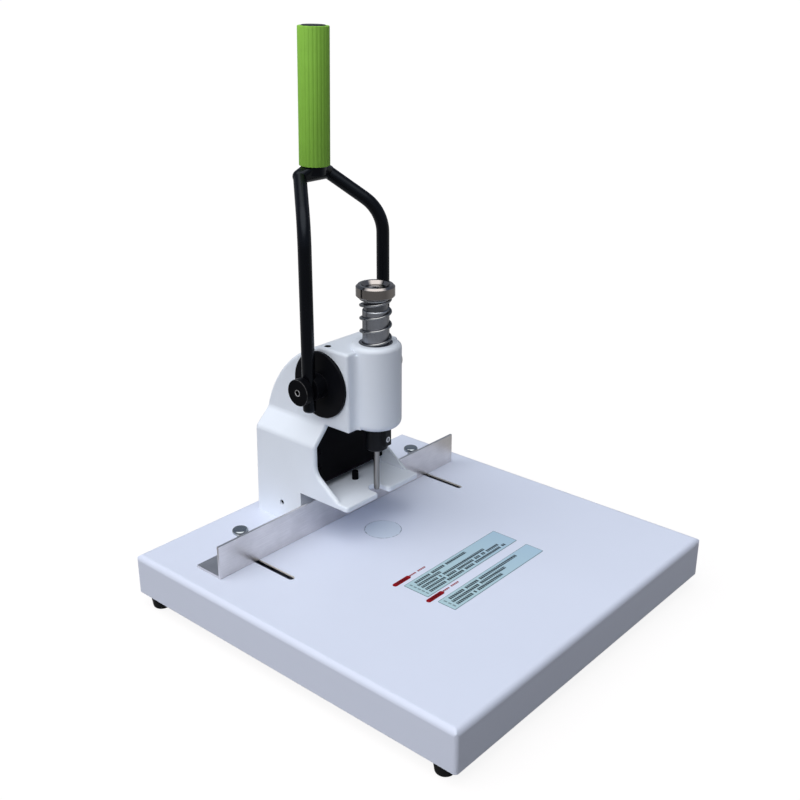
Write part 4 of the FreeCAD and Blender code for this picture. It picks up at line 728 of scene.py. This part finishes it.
LINER_PAINT = Finish("liner_paint", (0.0016, 0.0015, 0.0028), 0.55, specular=0.05, mottle=0.3, grain_scale=700.0,
                     grain_depth=0.00008, edge=0.0004)
BLACK_STEEL = Finish("black_steel", (0.0060, 0.0068, 0.0090), 0.34, specular=0.20, mottle=0.3, edge=0.0005, wear=0.6,
                     wear_color=(0.10, 0.10, 0.11))
BOLT_STEEL = BoltSteel("bolt_steel", (0.0032, 0.0033, 0.0046), 0.34, specular=0.05, mottle=0.3, edge=0.0006)
SCREW_STEEL = Finish("screw_steel", (0.72, 0.72, 0.73), 0.26, metallic=1.0, mottle=0.3, mottle_scale=300.0, edge=0.0003)
# Chrome, punch, plunger and spring steel darken to painted shade where their faces turn away from the view.
CHROME = TurnedMetal("chrome", (0.42, 0.385, 0.365), 0.14, mottle=0.06, grain_depth=0.000003, edge=0.0005, painted_graze_shade=0.50)
THUMB_CHROME = TurnedMetal("thumb_chrome", (0.44, 0.48, 0.51), 0.18, mottle=0.12, centre=(0.1285, 0.126, 0.0),
                           grain_depth=0.000003, edge=0.0004)
PUNCH_STEEL = StreakedMetal("punch_steel", (0.44, 0.42, 0.40), 0.34, axis=Axis.Z, line_contrast=0.3,
                            grain_depth=0.000006, edge=0.0003, painted_graze_shade=0.45)
BRIGHT_STEEL = StreakedMetal("bright_steel", (0.50, 0.505, 0.52), 0.25, axis=Axis.Z, grain_depth=0.000006, edge=0.0003)
PLUNGER_STEEL = NeckedSteel("plunger_steel", (0.56, 0.58, 0.64), 0.30, axis=Axis.Z, line_contrast=0.08,
                            grain_depth=0.000003, edge=0.0003, painted_graze_shade=0.30)
SPRING_STEEL = Finish("spring_steel", (0.50, 0.50, 0.50), 0.17, metallic=1.0, mottle=0.2, edge=0.0, painted_graze_shade=0.35)
BRONZE = Finish("bronze", (0.42, 0.26, 0.10), 0.35, metallic=1.0, mottle=0.2, edge=0.0003)
ALUMINIUM = StreakedMetal("aluminium", (0.90, 0.87, 0.865), 0.34, axis=Axis.X, mottle=0.30, mottle_scale=38.0,
                          line_scale=1300.0, line_length=0.03, line_contrast=0.16, grain_depth=0.000010, edge=0.0003)
GREEN_GRIP = Finish("green_grip", (0.30, 0.62, 0.080), 0.55, specular=0.22, mottle=0.07, mottle_scale=60.0,
                    grain_scale=1500.0, grain_depth=0.00003, edge=0.0003)
BLACK_PLASTIC = Finish("black_plastic", (0.012, 0.014, 0.018), 0.45, specular=0.25, mottle=0.2, edge=0.0004)
BLACK_RUBBER = Finish("black_rubber", (0.008, 0.008, 0.009), 0.60, specular=0.2, mottle=0.25, edge=0.0006)
PAD_PLASTIC = RimmedDisc("pad_plastic", (0.62, 0.70, 0.83), 0.42, specular=0.3, mottle=0.03, edge=0.0003)
RED_TAG = TagFilm("red_tag", (0.27, 0.004, 0.010), 0.5, specular=0.12, mottle=0.1, edge=0.0)
UPPER_LABEL = LabelFilm("label_sheet_upper", (0.43, 0.60, 0.665), 0.42, specular=0.25, mottle=0.03, edge=0.0)
LOWER_LABEL = LabelFilm("label_sheet_lower", (0.43, 0.60, 0.665), 0.42, specular=0.25, mottle=0.03, edge=0.0,
                        back=-0.0755, depth=0.0205, row_ends=(0.82, 0.64, 0.56))


# ---- Modelling ----
def select_only(piece: bpy.types.Object | None = None) -> None:
    """Leave one object selected and active, or none.

    Args:
        piece: The object, if any.
    """
    for thing in bpy.context.selected_objects:
        thing.select_set(False)
    bpy.context.view_layer.objects.active = piece
    if piece:
        piece.select_set(True)


def pick_corners(piece: bpy.types.Object, test: Callable[[bpy.types.MeshVertex], bool]) -> None:
    """Select the corners that pass a test, and stay in edit mode.

    Args:
        piece: Object in object mode.
        test: Says whether one corner is wanted.
    """
    select_only(piece)
    bpy.ops.object.mode_set(mode="EDIT")
    bpy.ops.mesh.select_mode(type="VERT")
    bpy.ops.mesh.select_all(action="DESELECT")
    bpy.ops.object.mode_set(mode="OBJECT")
    for vertex in piece.data.vertices:
        vertex.select = test(vertex)
    bpy.ops.object.mode_set(mode="EDIT")


def start_rings(sides: int, radius: float, location: Vector, rotation: Point = (0.0, 0.0, 0.0)) -> bpy.types.Object:
    """Lay a filled circle and open it for extruding.

    Args:
        sides: Corners of the circle.
        radius: Its radius.
        location: Its centre.
        rotation: Its turn about the three axes.

    Returns:
        The object, in edit mode with its one face selected.
    """
    select_only()
    bpy.ops.mesh.primitive_circle_add(vertices=sides, radius=radius, fill_type="NGON", location=location,
                                      rotation=rotation)
    piece = bpy.context.object
    bpy.ops.object.transform_apply()
    bpy.ops.object.mode_set(mode="EDIT")
    bpy.ops.mesh.select_mode(type="FACE")
    bpy.ops.mesh.select_all(action="SELECT")
    return piece


def close_mesh(smooth_angle: float) -> None:
    """Turn the normals of the open mesh outwards, leave edit mode and smooth the faces.

    Args:
        smooth_angle: Greatest angle between two faces that still shades as one.
    """
    bpy.ops.mesh.select_all(action="SELECT")
    bpy.ops.mesh.normals_make_consistent(inside=False)
    bpy.ops.object.mode_set(mode="OBJECT")
    bpy.ops.object.shade_smooth_by_angle(angle=smooth_angle)


def turn_on_lathe(profile: list[tuple[float, float]], sides: int) -> bpy.types.Object:
    """Solid of revolution about the Z axis, drawn up ring by ring.

    Args:
        profile: Radius and height of each ring, from the lowest upwards along the outside.
        sides: Corners of each ring.

    Returns:
        The object, closed at both ends, with its normals outwards.
    """
    radius, height = profile[0]
    piece = start_rings(sides, radius, Vector((0.0, 0.0, height)))
    for (radius, height), (last_radius, last_height) in zip(profile[1:], profile):
        bpy.ops.mesh.extrude_region_move(TRANSFORM_OT_translate={"value": (0.0, 0.0, height - last_height)})
        ratio = radius / last_radius
        bpy.ops.transform.resize(value=(ratio, ratio, 1.0), center_override=(0.0, 0.0, height))
    close_mesh(SMOOTH_ANGLE)
    return piece


class Workshop:
    """Makes each material once, dresses nodes and hangs finished pieces."""

    def __init__(self) -> None:
        """Start with no materials."""
        self.materials: dict[Finish, bpy.types.Material] = {}

    def material(self, finish: Finish) -> bpy.types.Material:
        """The material of a finish, made on first use.

        Args:
            finish: The finish.

        Returns:
            Its material.
        """
        if finish not in self.materials:
            self.materials[finish] = finish.material()
        return self.materials[finish]

    def dress_node(self, name: str, finish: Finish) -> None:
        """Give a node of the frame a finish through its slots.

        Args:
            name: The node's name.
            finish: Its finish.
        """
        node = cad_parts[name]
        for slot in node.material_slots:
            slot.material = self.material(finish)
        LOG.info("node %s: %s", name, finish.name)

    def settle(self, piece: bpy.types.Object, name: str, finish: Finish, body: Body,
               node: str = "") -> None:
        """Name, dress and hang a finished piece, with its place in its mesh.

        Args:
            piece: The modelled object.
            name: Its name.
            finish: Its finish.
            body: Body that it rides on.
            node: Node that it stands for, if any.
        """
        select_only(piece)
        bpy.ops.object.transform_apply()
        piece.name = piece.data.name = name
        piece.data.materials.clear()
        piece.data.materials.append(self.material(finish))
        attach(piece, body.value)
        if node:
            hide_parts(node)
        LOG.info("piece %s: %d faces, %s", name, len(piece.data.polygons), finish.name)


class Assembly:
    """A sub-assembly: nodes that it dresses, by their finish, and pieces that it models."""

    finishes: ClassVar[dict[Finish, tuple[str, ...]]] = {}

    def build(self, shop: Workshop) -> None:
        """Model the pieces that aren't plain nodes: none here."""

    def dress(self, shop: Workshop) -> None:
        """Give every node its finish.

        Args:
            shop: Maker of the materials.
        """
        for finish, names in self.finishes.items():
            for name in names:
                shop.dress_node(name, finish)


# ---- Table ----
class Table(Assembly):
    """Folded table with its cover, feet, anvil and cutting pad."""

    finishes = {
        TABLE_PAINT: ("base_tray", "bottom_cover", "corner_brackets"),
        BRIGHT_STEEL: ("foot_screws", "anvil_plate"),
        BLACK_STEEL: ("body_bolts",),
        BLACK_RUBBER: ("foot_front_left", "foot_front_right", "foot_rear_left", "foot_rear_right"),
        PAD_PLASTIC: ("cutting_pad",),
    }


# ---- Casting ----
class Casting(Assembly):
    """White casting with the liner, its screws and post, the bushes and the grub screws."""

    finishes = {
        CASTING_PAINT: ("body_casting",),
        # The top grub screws take the near-black liner paint as painted shade of the holes they sit in.
        LINER_PAINT: ("throat_liner", "liner_post", "liner_screws", "top_grub_screws"),
        BLACK_STEEL: ("side_grub_screws",),
        BRONZE: ("upper_guide_bush", "lower_guide_bush", "pivot_bush_left", "pivot_bush_right"),
    }


# ---- Spindle ----
@dataclass
class Spindle(Assembly):
    """Plunger with cap, punch and chuck, and the coil spring round it."""

    seat_z: float = 0.2430
    top_z: float = 0.3030
    coil_radius: float = 0.0145
    wire_radius: float = 0.00135
    pitch: float = 0.0130
    level_z: float = 0.2814
    level_angle: float = math.radians(131.0)
    closed_turns: float = 0.8
    step_angle: float = math.radians(10.0)
    ease_angle: float = math.radians(35.0)
    steepest: float = 50.0
    wire_sides: int = 14
    wire_room: float = 1.02
    smooth_angle: float = math.radians(50.0)
    keep: float = 0.275

    finishes = {
        PLUNGER_STEEL: ("plunger",),
        BRIGHT_STEEL: ("cap_screw",),
        PUNCH_STEEL: ("punch",),
        CHROME: ("spring_cap",),
        BLACK_STEEL: ("punch_chuck",),
        SCREW_STEEL: ("chuck_screw",),
        SPRING_STEEL: ("return_spring",),
    }

    def rise(self) -> list[tuple[float, float]]:
        """Angle and height of each ring of the wire.

        Returns:
            Pairs of an angle and a height, from the seat upwards.
        """
        low = self.seat_z + self.wire_radius * self.wire_room
        high = self.top_z - self.wire_radius * self.wire_room
        slope = self.pitch / FULL_TURN
        start = self.level_angle - (self.level_z - low) / slope
        end = self.level_angle + (high - self.level_z) / slope
        middle = (start + end) / 2.0
        closed = self.closed_turns * FULL_TURN
        span = end - start + 2.0 * closed
        count = round(span / self.step_angle)
        soft = self.ease_angle
        pairs = []
        for index in range(count + 1):
            angle = start - closed + span * index / count
            free = self.level_z + (angle - self.level_angle) * slope
            lower = low + slope * soft * math.log1p(math.exp(min((angle - start) / soft, self.steepest)))
            upper = high - slope * soft * math.log1p(math.exp(min((end - angle) / soft, self.steepest)))
            eased = lower if angle < middle else upper
            pairs.append((angle, eased if abs(angle - middle) > soft else free))
        return pairs

    def build(self, shop: Workshop) -> None:
        """Wind the wire ring by ring.

        Args:
            shop: Where it is dressed and hung.
        """
        rings = self.rise()
        centre = Vector((SPINDLE_X, SPINDLE_Y, 0.0))
        angle, height = rings[0]
        spot = centre + Vector((self.coil_radius * math.cos(angle), self.coil_radius * math.sin(angle), height))
        wire = start_rings(self.wire_sides, self.wire_radius, spot, (math.pi / 2.0, 0.0, angle))
        for (angle, height), (last_angle, last_height) in zip(rings[1:], rings):
            bpy.ops.mesh.extrude_region_move(TRANSFORM_OT_translate={"value": (0.0, 0.0, height - last_height)})
            bpy.ops.transform.rotate(value=last_angle - angle, orient_axis="Z", orient_type="GLOBAL",
                                     center_override=(SPINDLE_X, SPINDLE_Y, height))
        close_mesh(self.smooth_angle)
        shop.settle(wire, "return_coil", SPRING_STEEL, Body.ROOT, "return_spring")
        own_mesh(wire)


# ---- Lever ----
@dataclass
class Lever(Assembly):
    """Fork, hubs, bolts, shaft and pinion, with the ribbed grip."""

    grip_y: float = 0.1396
    grip_low: float = 0.4176
    grip_length: float = 0.1264
    grip_radius: float = 0.0150
    grip_bore: float = 0.0115
    bore_room: float = 0.0001
    grip_floor: float = 0.001
    grip_lean: float = math.radians(1.4)
    ribs: int = 24
    rib_corners: int = 8
    depths: tuple[tuple[int, float], ...] = ((0, 0.00045), (1, 0.00014), (7, 0.00014))
    rim: float = 0.0008
    rim_bend: float = 0.3
    skin_rims: float = 1.5
    yoke_x: float = 0.0185
    yoke_y: float = 0.1411
    yoke_z: float = 0.4090
    weld_radius: float = 0.0067
    weld_spread: float = 0.0005
    weld_width: float = 0.62
    weld_gap: float = 0.05 * MM
    weld_corners: int = 64
    ball_segments: int = 40
    ball_rings: int = 20

    finishes = {
        FORK_PAINT: ("lever_fork",),
        HUB_PAINT: ("hub_left", "hub_right"),
        BOLT_STEEL: ("pivot_bolt_left", "pivot_bolt_right"),
        GREEN_GRIP: ("grip_sleeve",),
        BLACK_PLASTIC: ("grip_plug",),
        BRIGHT_STEEL: ("pivot_shaft", "drive_pinion", "pinion_key"),
    }

    def build(self, shop: Workshop) -> None:
        """Turn the sleeve, press soft grooves into it, lean it like the stem and weld the yoke.

        Args:
            shop: Where the pieces are dressed and hung.
        """
        high, bend = self.grip_length, self.rim * self.rim_bend
        bore = self.grip_bore + self.bore_room
        sleeve = turn_on_lathe([
            (bore, 0.0), (self.grip_radius - self.rim, 0.0), (self.grip_radius - bend, bend),
            (self.grip_radius, self.rim), (self.grip_radius, high - self.rim),
            (self.grip_radius - bend, high - bend), (self.grip_radius - self.rim, high),
            (bore, high), (bore, self.grip_floor)], self.ribs * self.rib_corners)
        for corner, depth in self.depths:
            pick_corners(sleeve, lambda vertex: self.in_groove(vertex, corner))
            ratio = 1.0 - depth / self.grip_radius
            bpy.ops.transform.resize(value=(ratio, ratio, 1.0), center_override=(0.0, 0.0, 0.0))
            bpy.ops.object.mode_set(mode="OBJECT")
        sleeve.location = (0.0, self.grip_y, self.grip_low)
        sleeve.rotation_euler = (self.grip_lean, 0.0, 0.0)
        shop.settle(sleeve, "grooved_sleeve", GREEN_GRIP, Body.LEVER, "grip_sleeve")
        shop.settle(self.weld(), "yoke_weld", FORK_PAINT, Body.LEVER)

    def weld(self) -> bpy.types.Object:
        """Smooth weld that runs from both ends of the yoke to the foot of the grip.

        Returns:
            The weld as one closed shape.
        """
        select_only()
        reach = self.yoke_x + self.weld_spread
        ball = {"radius": self.weld_radius, "segments": self.ball_segments, "ring_count": self.ball_rings,
                "rotation": (0.0, math.pi / 2.0, 0.0)}
        bpy.ops.mesh.primitive_uv_sphere_add(location=(-reach, self.yoke_y, self.yoke_z), **ball)
        weld = bpy.context.object
        bpy.ops.object.transform_apply()
        bpy.ops.object.mode_set(mode="EDIT")
        bpy.ops.mesh.primitive_uv_sphere_add(location=(reach, self.yoke_y, self.yoke_z), **ball)
        bpy.ops.mesh.primitive_circle_add(
            vertices=self.weld_corners, radius=self.grip_radius - self.rim, rotation=(self.grip_lean, 0.0, 0.0),
            location=(0.0, self.grip_y, self.grip_low - self.weld_gap))
        bpy.ops.transform.resize(value=(1.0, self.weld_width, 1.0), center_override=(0.0, self.yoke_y, self.grip_low))
        bpy.ops.mesh.select_all(action="SELECT")
        bpy.ops.mesh.convex_hull()
        close_mesh(SMOOTH_ANGLE)
        return weld

    def in_groove(self, vertex: bpy.types.MeshVertex, corner: int) -> bool:
        """True for a corner of the outer skin at one place of its rib.

        Args:
            vertex: Corner of the sleeve.
            corner: Place within the rib, counted from the groove's floor.

        Returns:
            Whether the corner belongs to that line of the groove.
        """
        count = self.ribs * self.rib_corners
        turn = round(math.atan2(vertex.co.y, vertex.co.x) / FULL_TURN * count) % self.rib_corners
        return turn == corner and vertex.co.xy.length > self.grip_radius - self.rim * self.skin_rims


# ---- Fence ----
@dataclass
class Fence(Assembly):
    """Aluminium angle with washers, clamp nuts and turned thumb screws."""

    thumb_x: float = 0.1285
    thumb_y: float = 0.1260
    sides: int = 64
    profile: tuple[tuple[float, float], ...] = (
        (3.0, 44.8), (3.0, 58.95), (3.8, 58.95), (3.8, 61.5), (4.3, 61.8), (4.3, 63.4), (3.8, 63.7), (3.8, 77.6),
        (6.7, 77.9), (7.4, 78.1), (7.8, 78.6), (8.0, 79.3), (8.0, 80.6), (7.85, 81.2), (7.55, 81.7), (7.1, 82.15),
        (6.75, 82.35), (6.5, 82.4), (3.0, 82.4), (0.8, 82.4))

    finishes = {
        ALUMINIUM: ("fence_angle",),
        BRIGHT_STEEL: ("fence_washers", "clamp_nut_left", "clamp_nut_right"),
        THUMB_CHROME: ("thumb_screw_left", "thumb_screw_right"),
    }

    def build(self, shop: Workshop) -> None:
        """Turn both thumb screws, each with a collar on its neck and a soft rim round its flat top.

        Args:
            shop: Where they are dressed and hung.
        """
        for hand, side, body in (("left", -1.0, Body.THUMB_LEFT), ("right", 1.0, Body.THUMB_RIGHT)):
            screw = turn_on_lathe([(radius * MM, height * MM) for radius, height in self.profile], self.sides)
            screw.location = (side * self.thumb_x, self.thumb_y, 0.0)
            shop.settle(screw, "turned_thumb_" + hand, THUMB_CHROME, body, "thumb_screw_" + hand)


# ---- Labels ----
@dataclass
class Labels(Assembly):
    """Two pale labels, two red tags, and a row of small red bars beside each tag."""

    bar_length: float = 0.0017
    bar_width: float = 0.0021
    bar_thickness: float = 0.00008
    bar_pitch: float = 0.0023
    first_x: float = -0.0505
    row_y: Span = (-0.0270, -0.0680)
    bars: tuple[int, ...] = (0, 1, 2, 3, 5, 6, 7, 8, 9)
    round_part: float = 2.5
    round_segments: int = 2

    finishes = {UPPER_LABEL: ("label_upper",), LOWER_LABEL: ("label_lower",), RED_TAG: ("label_tags",)}

    def build(self, shop: Workshop) -> None:
        """Model one small bar with round edges and copy it along both rows.

        Args:
            shop: Where they are dressed and hung.
        """
        select_only()
        middle = (self.first_x, self.row_y[0], TABLE_Z + self.bar_thickness / 2.0)
        bpy.ops.mesh.primitive_cube_add(size=1.0, location=middle)
        row = bpy.context.object
        row.scale = (self.bar_length, self.bar_width, self.bar_thickness)
        bpy.ops.object.transform_apply()
        round_off = row.modifiers.new("round_off", "BEVEL")
        round_off.width, round_off.segments = self.bar_thickness / self.round_part, self.round_segments
        bpy.ops.object.modifier_apply(modifier=round_off.name)
        bpy.ops.object.mode_set(mode="EDIT")
        bpy.ops.mesh.select_all(action="SELECT")
        for step in (after - before for before, after in zip(self.bars, self.bars[1:])):
            bpy.ops.mesh.duplicate_move(TRANSFORM_OT_translate={"value": (step * self.bar_pitch, 0.0, 0.0)})
        bpy.ops.mesh.select_all(action="SELECT")
        bpy.ops.mesh.duplicate_move(TRANSFORM_OT_translate={"value": (0.0, self.row_y[1] - self.row_y[0], 0.0)})
        bpy.ops.object.mode_set(mode="OBJECT")
        shop.settle(row, "tag_bars", RED_TAG, Body.ROOT)


# ---- Stage ----
@dataclass
class Stage:
    """Pale floor and backdrop, soft light from above and the left, and the camera."""

    floor_half: float = 60.0
    floor_drop: float = 0.0003
    floor_color: Color = (0.145, 0.135, 0.135)
    floor_lift: float = 0.88
    card_color: Color = (0.07, 0.07, 0.07)
    card_near: float = 0.13
    card_far: float = 0.38
    card_reach: float = 0.45
    ahead: Point = (0.755, 0.656, 0.0)
    sky_light: float = 0.56
    sky_color: Color = (0.87, 0.93, 1.0)
    low_gloss: Color = (0.28, 0.31, 0.36)
    high_gloss: Color = (0.14, 0.17, 0.23)
    room_span: Span = (0.25, 0.7)
    patch_from: Point = (-0.30, -0.26, 0.92)
    patch_light: float = 2.0
    patch_edge: Span = (0.66, 0.88)
    sun_strength: float = 2.58
    sun_angle: float = math.radians(84.0)
    sun_from: Point = (-0.60, 0.09, 0.79)
    camera_place: Point = (-0.727913, -0.602664, 0.594015)
    camera_lens: float = 48.41
    camera_sensor: float = 36.0
    camera_yaw: float = -0.8547
    camera_pitch: float = 0.3834
    camera_roll: float = 0.0027
    camera_range: Span = (0.01, 500.0)

    def rays(self, graph: Graph) -> tuple[Socket, Socket]:
        """One for rays that look straight at a thing, and one for rays that a gloss sends.

        Args:
            graph: Graph of the floor or the world.

        Returns:
            A mask of camera and transmitted rays, and a mask of glossy rays that aren't camera rays.
        """
        camera, gloss, through = graph.several(graph.node("ShaderNodeLightPath"),
                                               ("Is Camera Ray", "Is Glossy Ray", "Is Transmission Ray"))
        straight = camera.most(through)
        return straight, gloss * (1.0 - straight)

    def lay_floor(self) -> None:
        """A wide pale floor that keeps the soft shadow; gloss sees it paler behind the machine than before it."""
        select_only()
        bpy.ops.mesh.primitive_plane_add(size=2.0 * self.floor_half, location=(0.0, 0.0, -self.floor_drop))
        floor = bpy.context.object
        floor.name = "studio_floor"
        graph = Graph(bpy.data.materials.new("studio_floor"))
        straight, gloss = self.rays(graph)
        ahead = graph.vector("DOT_PRODUCT", graph.place(), self.ahead, "Value")
        card = ahead.between(-self.card_reach, self.card_reach) * (self.card_far - self.card_near) + self.card_near
        color = graph.blend(gloss, self.floor_color, self.card_color)
        matt = graph.node("ShaderNodeBsdfDiffuse", {}, {"Color": color})
        strength = straight * self.floor_lift + gloss * card
        lift = graph.node("ShaderNodeEmission", {}, {"Color": WHITE, "Strength": strength})
        floor.data.materials.append(graph.close(graph.node("ShaderNodeAddShader", {}, {0: matt, 1: lift})))

    def light(self) -> None:
        """White surroundings, brighter overhead for gloss, and one broad soft lamp."""
        graph = Graph(bpy.data.worlds.new("studio"))
        straight, gloss = self.rays(graph)
        toward = graph.node("ShaderNodeTexCoord", output="Generated")
        _, _, height = graph.parts(toward)
        patch = graph.vector("DOT_PRODUCT", toward, self.patch_from, "Value").between(*self.patch_edge)
        room = graph.blend(height.between(*self.room_span), self.low_gloss, self.high_gloss)
        room = graph.blend(patch, room, WHITE)
        color = graph.blend(straight, graph.blend(gloss, self.sky_color, room), WHITE)
        matt = (1.0 - straight.most(gloss)) * height.most(0.0) * self.sky_light
        strength = straight + gloss * (patch * (self.patch_light - 1.0) + 1.0) + matt
        graph.close(graph.node("ShaderNodeBackground", {}, {"Color": color, "Strength": strength}),
                    "ShaderNodeOutputWorld")
        bpy.context.scene.world = graph.owner
        lamp = bpy.data.lights.new("soft_key", "SUN")
        lamp.energy, lamp.angle = self.sun_strength, self.sun_angle
        holder = bpy.data.objects.new("soft_key", lamp)
        holder.visible_glossy = False
        holder.rotation_euler = Vector(self.sun_from).to_track_quat("Z", "Y").to_euler()
        bpy.context.scene.collection.objects.link(holder)

    def aim_camera(self) -> None:
        """Camera at the measured place and angle."""
        lens = bpy.data.cameras.new("camera")
        lens.lens, lens.sensor_width, lens.sensor_fit = self.camera_lens, self.camera_sensor, "HORIZONTAL"
        lens.clip_start, lens.clip_end = self.camera_range
        camera = bpy.data.objects.new("camera", lens)
        turn = (Matrix.Rotation(self.camera_yaw, 4, "Z") @ Matrix.Rotation(math.pi / 2.0 - self.camera_pitch, 4, "X")
                @ Matrix.Rotation(self.camera_roll, 4, "Z"))
        camera.matrix_world = Matrix.Translation(self.camera_place) @ turn
        bpy.context.scene.collection.objects.link(camera)
        bpy.context.scene.camera = camera

    def build(self) -> None:
        """Set up floor, light, camera and the plain view transform."""
        self.lay_floor()
        self.light()
        self.aim_camera()
        bpy.context.scene.view_settings.view_transform = "Standard"


def main() -> None:
    """Dress the frame's nodes, model the pieces and set the stage."""
    logging.basicConfig(level=logging.INFO, format="%(message)s")
    shop = Workshop()
    for assembly in (Table(), Casting(), Spindle(), Lever(), Fence(), Labels()):
        assembly.dress(shop)
        assembly.build(shop)
    Stage().build()


if __name__ == "__main__":
    main()
